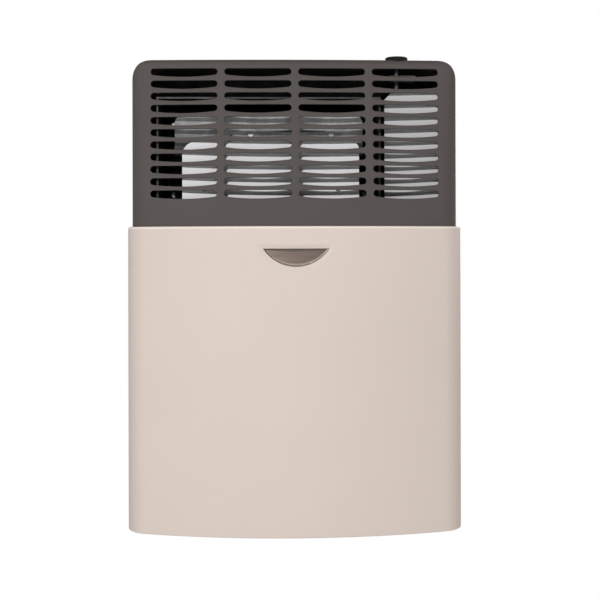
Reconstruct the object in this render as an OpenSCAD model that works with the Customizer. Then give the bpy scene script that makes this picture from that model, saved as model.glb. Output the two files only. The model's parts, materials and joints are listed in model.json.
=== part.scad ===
// Balanced flue gas room heater, hung on a wall.
// Lengths are in millimetres and +Z is up. The wall is the plane y = 0, the front faces -Y,
// and the origin is the middle of the four wall fixings, on the back face of the back plate.
// Heights in the modules are measured from the bottom edge of the cabinet, by from_base().

/* [Cabinet] */
// Width over the front panel
cabinet_w = 445; // [430:1:470]
// Height from the bottom edge to the top of the grille hood
cabinet_h = 623; // [616:1:634]
// Depth from the wall to the middle of the front panel
cabinet_d = 195; // [192:1:215]
// Radius of the bowed front, seen from above
bow_r = 670; // [640:10:900]
// Radius of the upright front corners, seen from above
corner_r = 36; // [30:1:40]
// Thickness of the cabinet sheet
sheet_t = 1; // [0.8:0.1:1.2]
// Gap from the cabinet's rear edges to the wall
wall_gap = 1; // [0.5:0.5:2]

/* [Front panel] */
// Height of the front panel
panel_h = 402; // [392:1:406]
// Depth of the lip folded in along the panel's bottom edge
panel_foot_lip = 10; // [6:1:14]

/* [Grille hood] */
// How far the hood stands inside the front panel's faces
hood_inset = 5; // [4:0.5:7]
// Clearance from the panel's top lip to the hood
hood_clear = 0.3; // [0.2:0.1:0.5]
// How far the hood runs down behind the panel
hood_lap = 25; // [15:1:40]
// How far the middle of the hood's face leans back at the top
hood_lean = 38; // [32:1:39]
// Radius of the hood's front at its top, seen from above
top_bow_r = 3400; // [2500:100:6000]
// Radius of the hood's upright corners at its top, seen from above
top_corner_r = 14; // [11:1:18]
// Top corner radius of the hood, seen from the front
hood_corner_r = 25; // [18:1:30]
// Radius of the edge between the hood's face and its top
hood_edge_r = 8; // [5:0.5:9]

/* [Grille slots] */
// Columns of slots
slot_cols = 4; // [3:1:4]
// Rows of slots
slot_rows = 11; // [8:1:11]
// Length of a slot
slot_l = 87; // [70:0.5:89]
// Width of the upright bars between the columns
slot_bar = 10.5; // [9:0.5:12]
// Height of a slot at its ends
slot_end_h = 7.7; // [6:0.1:8.4]
// Height of a slot at its middle
slot_mid_h = 11.5; // [9:0.1:12]
// Distance from one row to the next
slot_pitch = 16.2; // [15:0.1:16.5]
// From the top of the hood to the first row
slot_top = 10.7; // [10.5:0.1:14]

/* [Badge] */
// Width of the badge along its straight top edge
badge_w = 85; // [60:1:100]
// Height of the badge at its middle
badge_h = 23; // [16:1:28]
// Thickness of the badge inside its rim
badge_t = 1.4; // [1:0.1:2]
// Width of the badge's raised rim
badge_rim_w = 1.5; // [1:0.1:2]
// How far the rim stands above the badge's face
badge_rim_h = 0.6; // [0.4:0.1:1]
// From the panel's top edge to the badge's top edge
badge_drop = 29; // [20:1:40]
// Distance between the badge's two pins
badge_pin_gap = 44; // [30:1:48]
// Radius of a badge pin
badge_pin_r = 1.5; // [1.2:0.1:1.8]

/* [Knob] */
// Radius of the knob
knob_r = 15; // [12:0.5:15.5]
// Height of the knob
knob_h = 15; // [14:0.5:18]
// How far the knob stands above the hood
knob_proud = 6; // [4:0.5:7]
// Clearance between the knob and the hood around it
knob_clear = 1; // [0.8:0.1:1.4]
// From the warm air duct's wall to the knob's axis
knob_in = 24; // [22:0.5:26]
// From the hood's top front edge back to the edge of the knob hole
knob_hole_back = 2.5; // [2:0.5:5]
// How far the knob is pressed in
knob_travel = 4; // [2:0.5:4.5]

/* [Knob rod] */
// Radius of the rod between the knob and the valve
rod_r = 4; // [3:0.5:4.5]
// Running clearance of the rod in its guide
rod_clear = 0.3; // [0.2:0.05:0.4]
// Flat cut on the rod, measured from its axis
rod_flat = 2.6; // [2.2:0.1:2.8]
// Radius of the spring collar on the rod
collar_r = 7.5; // [7:0.5:9]
// Height of the spring collar
collar_h = 3; // [2:0.5:4]
// Wire radius of the return spring
wire_r = 0.8; // [0.6:0.1:1]
// Mean radius of the return spring
spring_r = 5.8; // [5.6:0.1:6.4]
// Turns of the return spring
spring_turns = 6; // [5:1:7]
// Height of the return spring at rest
spring_h = 28; // [26:1:32]

/* [Back plate] */
// Thickness of the back plate
plate_t = 1; // [0.8:0.1:1.5]
// Height of the back plate's bottom edge above the cabinet's
plate_low = 40; // [30:1:45]
// Gap between the back plate's top edge and the top of the hood
plate_gap = 8; // [6:1:12]
// Depth of the flanges folded forward at the sides
flange_d = 26; // [22:1:34]
// From the back plate's sides in to the wall fixings
fix_side_in = 21.5; // [18:0.5:26]
// From the back plate's top edge down to the upper wall fixings
fix_top_in = 15; // [13:0.5:20]
// From the back plate's bottom edge up to the lower wall fixings
fix_low_in = 20; // [16:0.5:24]
// Radius of a wall fixing hole
fix_r = 4.5; // [3.5:0.25:5]

/* [Flue] */
// Outer radius of the exhaust spigot
exhaust_r = 40; // [34:1:46]
// How far the exhaust spigot reaches into the wall
exhaust_reach = 55; // [48:1:80]
// Outer radius of the air intake spigot
intake_r = 65; // [60:1:70]
// How far the air intake spigot reaches into the wall
intake_reach = 40; // [30:1:46]
// Wall thickness of the spigots
spigot_t = 1; // [0.8:0.1:1.5]
// From the chamber's top down to the flue's axis
flue_drop = 123; // [115:1:140]

/* [Combustion chamber] */
// Sideways place of the chamber's middle
chamber_x = -34.5; // [-36:0.5:-33]
// Width of the chamber without its flange
chamber_w = 250; // [244:1:252]
// Height of the chamber's bottom
chamber_low = 150; // [140:1:156]
// From the top of the hood down to the chamber's top
chamber_drop = 70; // [68:1:80]
// Distance of the chamber's rear wall from the wall plane
chamber_back_y = 25; // [22:1:30]
// From the front panel's face back to the chamber's front wall
chamber_setback = 55; // [54:0.5:60]
// Distance of the chamber's joint from the wall plane
joint_y = 79; // [70:1:90]
// Thickness of the chamber sheet
chamber_t = 1.2; // [1:0.1:1.5]
// Width of the chamber's flanges
chamber_flange = 11; // [10:0.5:12]
// Corner radius of the chamber, seen from the front
chamber_r = 14; // [8:1:20]
// Thickness of the gasket between the flanges
gasket_t = 2; // [1.5:0.1:3]

/* [Burner] */
// Width of the burner door
door_w = 210; // [205:1:216]
// Height of the burner door
door_h = 90; // [86:1:92]
// Margin of the door around its opening
door_margin = 10; // [9:0.5:12]
// Height of the burner door's bottom edge above the chamber's
door_low = 10; // [9:0.5:12]
// Thickness of the burner door
door_t = 1.5; // [1:0.1:2]
// Thickness of the door gasket
door_gasket_t = 1; // [0.8:0.1:1.4]
// Outer radius of the burner tube
burner_r = 16; // [13:0.5:17]
// Wall of the burner tube
burner_t = 1; // [0.8:0.1:1.5]
// Length of the burner tube
burner_l = 145; // [130:1:146]
// From the chamber's front wall back to the burner's axis
burner_in = 28; // [26:0.5:30]
// Height of the burner's axis above the chamber's bottom
burner_up = 45; // [43:0.5:47]
// Ports in each row along the burner
burner_ports = 18; // [12:1:20]
// Radius of the gas pipe to the burner
pipe_r = 4; // [3:0.25:4.2]
// Radius of the pilot tube
pilot_r = 2; // [1.5:0.25:2.25]
// Radius of the thermocouple lead
lead_r = 1.2; // [1:0.1:1.4]
// Radius of the ignition cable
cable_r = 2.5; // [2:0.25:2.75]

/* [Sight glass] */
// Radius of the sight glass
glass_r = 24; // [20:1:26]
// Thickness of the sight glass
glass_t = 3; // [2:0.5:4]
// Height of the sight glass above the chamber's bottom
glass_up = 140; // [138:1:150]

/* [Warm air duct] */
// Clearance from the chamber's flange to the duct's side walls
duct_gap = 10.5; // [8:0.5:12]
// From the chamber's top up to the duct's roof
duct_rise = 20; // [17:1:24]
// Height of the duct's open bottom edge
duct_low = 300; // [290:1:320]
// How far the duct stands in front of the chamber's front wall
duct_proud = 6; // [3:0.5:6.5]
// Width of the duct's front lips
duct_lip = 5; // [3:0.5:6]

/* [Heat shields] */
// Thickness of the shields and the duct
shield_t = 1; // [0.8:0.1:1.2]
// How much narrower the white shield is than the chamber
shield_narrow = 14; // [10:1:24]
// From the chamber's middle to the shield's middle
shield_shift = 3; // [0:0.5:5]
// Height of that shield's bottom edge
shield_low = 325; // [322:1:340]
// From the chamber's top down to that shield's top edge
shield_drop = 39; // [37:1:50]
// From the chamber's front wall out to that shield's face
shield_stand = 17; // [14:0.5:18]
// Length of the cut across each top corner of the shields
shield_chamfer = 9; // [4:0.5:14]
// Depth of the returns folded back along that shield's sides
shield_return = 10; // [6:1:12]
// From the duct's wall to the valve shield's left edge
valve_shield_gap = 6.5; // [6:0.5:10]
// From the cabinet's side in to the valve shield's right wall
valve_shield_in = 10; // [9.5:0.5:12]
// Height of the valve shield's bottom edge
valve_shield_low = 330; // [326:1:350]
// From the top of the hood down to the valve shield's top edge
valve_shield_drop = 43; // [42:1:50]
// From the chamber's front wall out to the valve shield's face
valve_shield_stand = 4; // [3:0.5:5]

/* [Gas valve] */
// Width of the valve body
valve_w = 70; // [66:1:74]
// Depth of the valve body
valve_d = 54; // [50:1:56]
// Height of the valve body
valve_h = 40; // [36:1:46]
// Height of the valve's underside
valve_low = 220; // [216:1:226]
// From the valve body's left side to the knob's axis
valve_axis_in = 13; // [12.5:0.5:14]
// Radius of the valve's turret
turret_r = 12; // [10:0.5:12]
// Height of the valve's turret
turret_h = 10; // [8:0.5:12]
// Radius of the spindle's journal
journal_r = 7; // [6.5:0.1:7.4]
// Running clearance of the spindle's journal
journal_clear = 0.05; // [0.03:0.01:0.08]
// Radius of the safety magnet under the valve
magnet_r = 11.5; // [9:0.5:12]
// Height of the safety magnet
magnet_h = 25; // [20:1:28]
// Thread radius of the gas inlet
inlet_r = 10.4; // [8:0.1:10.8]
// Thread length of the gas inlet
inlet_l = 18; // [14:1:20]
// From the knob's axis to the gas inlet's axis
inlet_dx = 33; // [31:0.5:34]

/* [Hidden] */
// Rounding of true curves
$fn = 64;
// Small overrun of a cutting tool
cut = 1;

// Cabinet
hood_w = cabinet_w - 2 * hood_inset;
hood_d = cabinet_d - hood_inset;
hood_low = panel_h - hood_lap;
lean_low = panel_h + 4;
side_in = hood_w / 2 - sheet_t;
panel_in = cabinet_w / 2 - sheet_t;

// Chamber
chamber_top = cabinet_h - chamber_drop;
chamber_front_y = cabinet_d - chamber_setback;
joint_back = joint_y - gasket_t / 2;
joint_front = joint_y + gasket_t / 2;
chamber_h = chamber_top - chamber_low;
chamber_mid = (chamber_top + chamber_low) / 2;
chamber_left_x = chamber_x - chamber_w / 2;
chamber_right_x = chamber_x + chamber_w / 2;
flue_h = chamber_top - flue_drop;

// Duct and shields
duct_left_x = chamber_left_x - chamber_flange - duct_gap - shield_t;
duct_right_x = chamber_right_x + chamber_flange + duct_gap + shield_t;
duct_top = chamber_top + duct_rise;
duct_d = chamber_front_y + duct_proud;
shield_w = chamber_w - shield_narrow;
shield_mid = chamber_x + shield_shift;
shield_top = chamber_top - shield_drop;
shield_y = chamber_front_y + shield_stand;
shield_back = shield_y - shield_t;
valve_shield_left = duct_right_x + valve_shield_gap;
valve_shield_right = side_in - valve_shield_in;
valve_shield_top = cabinet_h - valve_shield_drop;
valve_shield_y = chamber_front_y + valve_shield_stand;

// Knob and rod
knob_x = duct_right_x + knob_in;
hood_top_d = hood_d - hood_lean;
knob_hole_r = knob_r + knob_clear;
knob_y = -(hood_top_d - bow_drop(knob_x, top_bow_r) - knob_hole_back - knob_hole_r);
knob_top = cabinet_h + knob_proud;
knob_bore_d = knob_h - 5;
rod_top = knob_top - knob_h + knob_bore_d;
valve_top = valve_low + valve_h;
turret_top = valve_top + turret_h;
spindle_flange_h = 2.7;
spindle_h = 19;
journal_gap = 0.3;
journal_l = 18;
spindle_top = turret_top + journal_gap + spindle_flange_h + spindle_h;
spindle_low = turret_top - journal_l;
rod_low = spindle_low + 1 + knob_travel + 1;
collar_low = spindle_top + spring_h;

// Back plate
plate_top = cabinet_h - plate_gap;
fix_x = 2 * (side_in - fix_side_in);
fix_low = plate_low + fix_low_in;
fix_high = plate_top - fix_top_in;
fix_mid = (fix_low + fix_high) / 2;
hook_x = 100;
hook_w = 20;
hook_tab = 25;
hook_reach = 20;
flue_hole_r = intake_r + 2;

// Screws and the chamber's flange
flange_screw_in = 5.5;
flange_screw_end = 10;
flange_screws = [for (s = [-1, 1], k = [0:4])
        [chamber_x + s * (chamber_w / 2 + flange_screw_in),
            chamber_low + flange_screw_end + k * (chamber_h - 2 * flange_screw_end) / 4],
    for (z = [chamber_low - flange_screw_in, chamber_top + flange_screw_in], k = [-1, 0, 1])
        [chamber_x + k * chamber_w / 3, z]];
screw_r = 1.8;
screw_clear = 0.2;
head_r = 3.6;
head_h = 2.2;

// Burner
door_bottom = chamber_low + door_low;
door_gasket_y = chamber_front_y;
door_y = chamber_front_y + door_gasket_t;
door_face = door_y + door_t;
door_screws = [for (sx = [-1, 1], sz = [0, 1])
    [chamber_x + sx * (door_w - door_margin) / 2, door_bottom + door_margin / 2 + sz * (door_h - door_margin)]];
burner_y = chamber_front_y - burner_in;
burner_z = chamber_low + burner_up;
burner_end_gap = 5;
burner_left_x = chamber_x - door_w / 2 + door_margin + burner_end_gap;
burner_right_x = burner_left_x + burner_l;
pilot_rise = 30;
pilot_z = burner_z + pilot_rise;
pilot_shift = 5;
pilot_pitch = 20;
pilot_x = chamber_x - pilot_shift;
electrode_x = pilot_x - pilot_pitch;
couple_x = pilot_x + pilot_pitch;
injector_gap = 26;
injector_x = burner_right_x + injector_gap;
lead_gap = 7;
lead_y = -(door_face + lead_gap);

// Sight glass
glass_shift = 64;
glass_x = chamber_x + glass_shift;
glass_z = chamber_low + glass_up;

// Valve
valve_left_x = knob_x - valve_axis_in;
shelf_t = 2;
boss_l = 6;
riser_gap = 10;
riser_x = valve_left_x - boss_l - riser_gap;
burner_out_up = 20;
burner_out_z = valve_low + burner_out_up;
pilot_out_up = 15;
pilot_out_z = valve_low + pilot_out_up;
pilot_out_in = 11;
pilot_out_y = knob_y + valve_d / 2 - pilot_out_in;
inlet_x = knob_x + inlet_dx;
inlet_collar_h = 7;
piezo_in = 14;
piezo_gap = 16;
piezo_x = valve_left_x + valve_w - piezo_in;
piezo_y = knob_y + valve_d / 2 + piezo_gap;
piezo_r = 7;
piezo_h = 45;

// Sheet brackets
z_bracket_w = 20;
z_tab_l = 14;
foot_l = 10;

// ---- shared geometry ----

// Everything is drawn from the cabinet's bottom edge and lowered to the frame's origin.
module from_base() {
    translate([0, 0, -fix_mid]) children();
}

// How far the bowed front falls back at a distance x from its middle.
function bow_drop(x, r) = r - sqrt(r * r - x * x);

// A bowed outline has a wide front arc, two corner arcs and straight sides, all tangent.
// These give the distance of the arcs' centres behind the wall plane and the front arc's half angle.
function bow_centre(d, r) = r - d;
function corner_centre(w, d, r, rc) = bow_centre(d, r) - sqrt(pow(r - rc, 2) - pow(w / 2 - rc, 2));
function bow_half(w, r, rc) = asin((w / 2 - rc) / (r - rc));

// Outward angles along the outline, from its left side round the bow to its right side.
bow_steps = 20;
corner_steps = 8;
function outline_angles(half) = concat(
    [for (i = [0:corner_steps]) -90 + (90 - half) * i / corner_steps],
    [for (i = [1:bow_steps - 1]) -half + 2 * half * i / bow_steps],
    [for (i = [0:corner_steps]) half + (90 - half) * i / corner_steps]);

// The outline's points, seen from above, from the left rear end to the right rear end.
function bow_outline(w, d, r, rc) = let (
        half = bow_half(w, r, rc), oy = bow_centre(d, r), cy = corner_centre(w, d, r, rc),
        cx = w / 2 - rc)
    concat([[-w / 2, -wall_gap]],
        [for (a = outline_angles(half))
            abs(a) <= half + 0.001 ? [r * sin(a), oy - r * cos(a)]
                : [sign(a) * cx + rc * sin(a), cy - rc * cos(a)]],
        [[w / 2, -wall_gap]]);

// A wall of the thickness t that follows the outline.
module bowed_wall(w, d, r, rc, t, h) {
    inside = bow_outline(w - 2 * t, d - t, r - t, rc - t);
    linear_extrude(h) polygon(concat(bow_outline(w, d, r, rc),
        [for (i = [len(inside) - 1:-1:0]) inside[i]]));
}

// A plate standing upright along X, drawn as a front view, from the distance y to y + t off the wall.
module upright(y, t) {
    translate([0, -y, 0]) rotate([90, 0, 0]) linear_extrude(t) children();
}

// Points of a rectangle with round corners.
function round_rect(w, h, r, n = 5) = [for (c = [[1, 1, 0], [-1, 1, 90], [-1, -1, 180], [1, -1, 270]],
    i = [0:n]) let (a = c[2] + 90 * i / n)
    [c[0] * (w / 2 - r) + r * cos(a), c[1] * (h / 2 - r) + r * sin(a)]];

module round_plate(w, h, r) {
    polygon(round_rect(w, h, r));
}

// A straight round bar from p to q.
module bar(p, q, r) {
    d = q - p;
    translate(p) rotate([0, acos(d[2] / norm(d)), atan2(d[1], d[0])])
        cylinder(r = r, h = norm(d), $fn = 24);
}

// The skin of a tube through rings of points, with flat ends.
module tube_skin(rings) {
    m = len(rings);
    n = len(rings[0]);
    sides = [for (k = [0:m - 2], j = [0:n - 1]) let (
            a = k * n + j, b = k * n + (j + 1) % n, c = a + n, d = b + n)
        each [[a, d, b], [a, c, d]]];
    polyhedron([for (ring = rings) each ring], concat(sides,
        [[for (j = [0:n - 1]) j], [for (j = [n - 1:-1:0]) (m - 1) * n + j]]));
}

function unit(v) = v / norm(v);

// The points with each corner turned into an arc of the radius bend_r.
bend_steps = 4;
function rounded_path(points, bend_r) = let (last = len(points) - 1) concat([points[0]],
    [for (i = [1:last - 1]) let (
            u = unit(points[i] - points[i - 1]), v = unit(points[i + 1] - points[i]),
            c = points[i] - u * bend_r + v * bend_r)
        each [for (k = [0:bend_steps]) let (a = 90 * k / bend_steps)
            c + bend_r * (u * sin(a) - v * cos(a))]],
    [points[last]]);

// Directions along a path, and for each a normal that turns no more than the path does.
function along(path) = let (last = len(path) - 1)
    [for (k = [0:last]) unit(path[min(k + 1, last)] - path[max(k - 1, 0)])];
function normals(dirs, k, n) = let (m = unit(n - (n * dirs[k]) * dirs[k]))
    k == len(dirs) - 1 ? [m] : concat([m], normals(dirs, k + 1, m));

// A tube bent square at the points, which differ along one axis at a time.
module bent_tube(points, r, bend_r, sides = 10) {
    path = rounded_path(points, bend_r);
    dirs = along(path);
    first = abs(dirs[0][2]) < 0.5 ? [0, 0, 1] : [1, 0, 0];
    norms = normals(dirs, 0, first);
    tube_skin([for (k = [0:len(path) - 1]) [for (j = [0:sides - 1]) let (a = 360 * j / sides)
        path[k] + r * (cos(a) * norms[k] + sin(a) * cross(dirs[k], norms[k]))]]);
}

// A screw with a pan head, its head's seat at p, pointing along +Y.
module screw_back(p, l) {
    translate(p) rotate([-90, 0, 0]) {
        cylinder(r = screw_r, h = l, $fn = 24);
        translate([0, 0, -head_h]) cylinder(r = head_r, h = head_h, $fn = 24);
    }
}

// The same screw pointing along -s * X.
module screw_side(p, s, l) {
    translate(p) rotate([0, -s * 90, 0]) {
        cylinder(r = screw_r, h = l, $fn = 24);
        translate([0, 0, -head_h]) cylinder(r = head_r, h = head_h, $fn = 24);
    }
}

// ---- cabinet ----

// Front view of one slot: a straight top edge, round ends and a bellied bottom edge.
slot_end_steps = 5;
slot_belly_steps = 6;
function slot_points() = let (e = slot_end_h / 2, b = slot_l / 2 - e, belly = slot_mid_h - slot_end_h)
    concat(
        [for (i = [0:slot_end_steps]) let (a = 90 + 180 * i / slot_end_steps)
            [-b + e * cos(a), -e + e * sin(a)]],
        [for (i = [1:slot_belly_steps - 1]) let (x = -b + 2 * b * i / slot_belly_steps)
            [x, -slot_end_h - belly * (1 - pow(x / b, 2))]],
        [for (i = [0:slot_end_steps]) let (a = -90 + 180 * i / slot_end_steps)
            [b + e * cos(a), -e + e * sin(a)]]);

module slots() {
    for (c = [0:slot_cols - 1], k = [0:slot_rows - 1])
        translate([(c - (slot_cols - 1) / 2) * (slot_l + slot_bar), -hood_d / 2,
                cabinet_h - slot_top - k * slot_pitch])
            rotate([90, 0, 0]) linear_extrude(hood_d) polygon(slot_points());
}

// A point of the hood's outline at the height z, between those of its foot and of its top.
function leaned(low, high, z) = low + (high - low) * max(0, z - lean_low) / (cabinet_h - lean_low);

// One skin of the pressed hood, skin = 0 outside or sheet_t inside, as rings of points.
// From lean_low up each point runs straight from the bowed outline to the flatter one at the top.
// The face's upper edge turns through hood_edge_r and the sides' through hood_corner_r.
lean_steps = 8;
turn_steps = 5;
function hood_rings(skin) = let (
        r = bow_r - hood_inset, rc = corner_r - hood_inset,
        low = bow_outline(hood_w - 2 * skin, hood_d - skin, r - skin, rc - skin),
        high = bow_outline(hood_w - 2 * skin, hood_top_d - skin, top_bow_r - skin, top_corner_r - skin),
        top_ring = bow_outline(hood_w - 2 * hood_corner_r, hood_top_d - hood_edge_r,
            top_bow_r - hood_edge_r, top_corner_r - hood_edge_r),
        half = bow_half(hood_w, r, rc),
        last = len(low) - 1,
        angles = concat([-90], outline_angles(half), [90]),
        turn = [for (a = angles) let (f = max(0, abs(a) - half) / (90 - half))
            hood_edge_r + (hood_corner_r - hood_edge_r) * f * f * (3 - 2 * f)])
    concat(
        [[for (p = low) [p[0], p[1], hood_low]]],
        [for (k = [0:lean_steps - 1]) [for (i = [0:last]) let (
                z = lean_low + (cabinet_h - turn[i] - lean_low) * k / lean_steps)
            concat(leaned(low[i], high[i], z), z)]],
        [for (k = [0:turn_steps]) let (a = 90 * k / turn_steps)
            [for (i = [0:last]) let (
                    z = cabinet_h - skin - (turn[i] - skin) * (1 - sin(a)),
                    base = leaned(low[i], high[i], z))
                concat(base + (top_ring[i] - base) * (1 - cos(a)), z)]]);

// The pressed shell: both skins, closed along the bottom edge and the rear edge.
module hood_shell() {
    outer = hood_rings(0);
    inner = hood_rings(sheet_t);
    n = len(outer[0]);
    m = len(outer);
    all = n * m;
    flat_points = concat([for (ring = outer) for (p = ring) p], [for (ring = inner) for (p = ring) p]);
    skins = [for (k = [0:m - 2], i = [0:n - 2]) let (a = k * n + i, b = a + 1, c = a + n, d = c + 1)
        each [[a, d, b], [a, c, d], [all + a, all + b, all + d], [all + a, all + d, all + c]]];
    caps = [[for (i = [0:n - 1]) (m - 1) * n + i], [for (i = [n - 1:-1:0]) all + (m - 1) * n + i]];
    bottom = [for (i = [0:n - 2]) each [[i, i + 1, all + i + 1], [i, all + i + 1, all + i]]];
    rear = [for (k = [0:m - 2]) let (a = k * n, c = a + n, b = a + n - 1, d = c + n - 1)
        each [[a, all + a, all + c], [a, all + c, c], [b, d, all + d], [b, all + d, all + b]]];
    l = (m - 1) * n;
    top_rear = [[l, all + l, all + l + n - 1], [l, all + l + n - 1, l + n - 1]];
    polyhedron(flat_points, concat(skins, caps, bottom, rear, top_rear));
}

hood_screw_drop = 130;
hood_screw_z = cabinet_h - hood_screw_drop;
panel_bracket_low = 70;
panel_bracket_drop = 78;
panel_bracket_z = [panel_bracket_low, panel_h - panel_bracket_drop];
screw_y = wall_gap + flange_d / 2;

module grille_hood() color("#59544F") from_base() difference() {
    hood_shell();
    slots();
    translate([knob_x, knob_y, cabinet_h - hood_edge_r - cut])
        cylinder(r = knob_hole_r, h = hood_edge_r + 2 * cut);
    for (s = [-1, 1]) translate([s * hood_w / 2, -screw_y, hood_screw_z]) rotate([0, 90, 0])
        cylinder(r = screw_r + screw_clear, h = 4 * sheet_t, center = true);
}

// The panel's wall, with a lip that meets the hood at its top and a lip along its foot.
module front_panel() color("#DCCEC4") from_base() difference() {
    union() {
        bowed_wall(cabinet_w, cabinet_d, bow_r, corner_r, sheet_t, panel_h);
        translate([0, 0, panel_h - sheet_t])
            bowed_wall(cabinet_w, cabinet_d, bow_r, corner_r, hood_inset - hood_clear, sheet_t);
        bowed_wall(cabinet_w, cabinet_d, bow_r, corner_r, panel_foot_lip, sheet_t);
    }
    for (s = [-1, 1]) {
        translate([s * badge_pin_gap / 2, -cabinet_d + 5, badge_mid]) rotate([90, 0, 0])
            cylinder(r = badge_pin_r + 0.1, h = 10);
        for (z = panel_bracket_z) translate([s * cabinet_w / 2, -screw_y, z]) rotate([0, 90, 0])
            cylinder(r = screw_r + screw_clear, h = 4 * sheet_t, center = true);
    }
}

// Front view of the badge: the part of a disc below a straight edge, drawn in by m all round.
badge_top = panel_h - badge_drop;
badge_mid = badge_top - badge_h * 0.4;
badge_disc_r = (pow(badge_w / 2, 2) + pow(badge_h, 2)) / (2 * badge_h);
module badge_outline(m) {
    intersection() {
        translate([0, badge_top - badge_h + badge_disc_r]) circle(r = badge_disc_r - m, $fn = 200);
        translate([-badge_w, badge_top - 2 * badge_h - m]) square([2 * badge_w, 2 * badge_h]);
    }
}

// A layer that follows the bowed front, from a to b beyond the panel's face.
module bow_layer(a, b) {
    translate([0, 0, badge_top - 2 * badge_h])
        bowed_wall(cabinet_w + 2 * b, cabinet_d + b, bow_r + b, corner_r + b, b - a, 3 * badge_h);
}

module badge() color("#8C8579") from_base() {
    difference() {
        intersection() {
            upright(cabinet_d - 10, 20) badge_outline(0);
            bow_layer(0, badge_t + badge_rim_h);
        }
        intersection() {
            upright(cabinet_d - 10, 20) badge_outline(badge_rim_w);
            bow_layer(badge_t, badge_t + badge_rim_h + cut);
        }
    }
    for (s = [-1, 1]) translate([s * badge_pin_gap / 2, -cabinet_d + 5, badge_mid])
        rotate([90, 0, 0]) cylinder(r = badge_pin_r, h = 5 + badge_t / 2, $fn = 24);
}

clip_r = 4.5;
clip_t = 0.6;
module badge_clips() color("#A9ABAD") from_base() {
    seat = cabinet_d - sheet_t - bow_drop(badge_pin_gap / 2 + clip_r, bow_r) - 0.1;
    for (s = [-1, 1]) translate([s * badge_pin_gap / 2, -seat, badge_mid]) rotate([-90, 0, 0])
        difference() {
            cylinder(r = clip_r, h = clip_t, $fn = 24);
            translate([0, 0, -cut]) cylinder(r = badge_pin_r, h = clip_t + 2 * cut, $fn = 24);
        }
}

// ---- knob, rod and spring ----

module at_knob() {
    translate([knob_x, knob_y, 0]) children();
}

// The knob has a domed rim, a dished top and a pointer ridge that stays below the rim's plane.
knob_dome_r = 2.5;
knob_dish = 1.2;
module knob() color("#2E2D2C") from_base() at_knob() translate([0, 0, knob_top - knob_h]) {
    difference() {
        rotate_extrude($fn = 96) difference() {
            union() {
                square([knob_r, knob_h - knob_dome_r]);
                square([knob_r - knob_dome_r, knob_h]);
                translate([knob_r - knob_dome_r, knob_h - knob_dome_r]) circle(r = knob_dome_r);
            }
            translate([-1, knob_h - knob_dish]) square([knob_r - knob_dome_r, knob_dish + cut]);
        }
        translate([0, 0, -cut]) cylinder(r = rod_r + 0.1, h = knob_bore_d + cut);
    }
    translate([-1, -knob_r + knob_dome_r + 1.5, knob_h - knob_dish]) cube([2, knob_r - 5, knob_dish - 0.2]);
}

// The rod's flat runs up past the spindle by the travel and a little more.
rod_flat_over = 1;
module knob_rod() color("#B9BBBC") from_base() at_knob() {
    difference() {
        translate([0, 0, rod_low]) cylinder(r = rod_r, h = rod_top - rod_low);
        translate([rod_flat, -rod_r - cut, rod_low - cut])
            cube([rod_r, 2 * rod_r + 2 * cut, spindle_top - rod_low + knob_travel + rod_flat_over + cut]);
    }
    translate([0, 0, collar_low]) cylinder(r = collar_r, h = collar_h);
}

// The spring's wire as one tube along a helix, closed by its two flat ends.
spring_seat_gap = 0.3;
spring_sides = 6;
spring_steps = 12;
module return_spring() color("#C4C6C8") from_base() at_knob() {
    rings = spring_turns * spring_steps;
    z0 = spindle_top + spring_seat_gap + wire_r;
    z1 = collar_low - spring_seat_gap - wire_r;
    pitch = (z1 - z0) / spring_turns;
    echo(spring_least_gap = pitch - 2 * wire_r);
    tube_skin([for (k = [0:rings]) let (a = 360 * k / spring_steps)
        [for (j = [0:spring_sides - 1]) let (
                b = -360 * j / spring_sides, r = spring_r + wire_r * cos(b))
            [r * cos(a), r * sin(a), z0 + (z1 - z0) * k / rings + wire_r * sin(b)]]]);
}

// The turning spindle: a journal in the valve's turret and a socket with a flat for the rod.
module valve_spindle() color("#C8A24A") from_base() at_knob() difference() {
    union() {
        translate([0, 0, spindle_low]) cylinder(r = journal_r, h = journal_l + journal_gap);
        translate([0, 0, turret_top + journal_gap])
            cylinder(r = journal_r + 2.5, h = spindle_flange_h);
        translate([0, 0, turret_top + journal_gap])
            cylinder(r = journal_r - 0.1, h = spindle_flange_h + spindle_h);
    }
    translate([0, 0, spindle_low + 1]) difference() {
        cylinder(r = rod_r + 0.1, h = spindle_top);
        translate([rod_flat + 0.1, -rod_r - cut, -cut])
            cube([rod_r, 2 * rod_r + 2 * cut, spindle_top + 2 * cut]);
    }
}

// A shelf folded from the back plate to the rod, with a foot and a front lip folded down.
guide_drop = 20;
guide_top = cabinet_h - guide_drop;
guide_t = 1.5;
guide_l = 11;
guide_r = 24;
guide_front = 12.5;
guide_d = guide_front - knob_y;
guide_foot = 18;
guide_lip = 8;
module rod_guide() color("#9EA1A3") from_base() difference() {
    union() {
        translate([knob_x - guide_l, -guide_d, guide_top - guide_t])
            cube([guide_l + guide_r, guide_d - plate_t, guide_t]);
        translate([knob_x - guide_l, -plate_t - guide_t, guide_top - guide_foot])
            cube([guide_l + guide_r, guide_t, guide_foot]);
        translate([knob_x - guide_l, -guide_d, guide_top - guide_lip])
            cube([guide_l + guide_r, guide_t, guide_lip]);
    }
    translate([knob_x, knob_y, guide_top - guide_t - cut])
        cylinder(r = rod_r + rod_clear, h = guide_t + 2 * cut);
}

// ---- back plate and cabinet fixings ----

module fixing_holes() {
    for (s = [-1, 1], z = [fix_low, fix_high]) translate([s * fix_x / 2, cut, z])
        rotate([90, 0, 0]) cylinder(r = fix_r, h = plate_t + 2 * cut);
}

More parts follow.
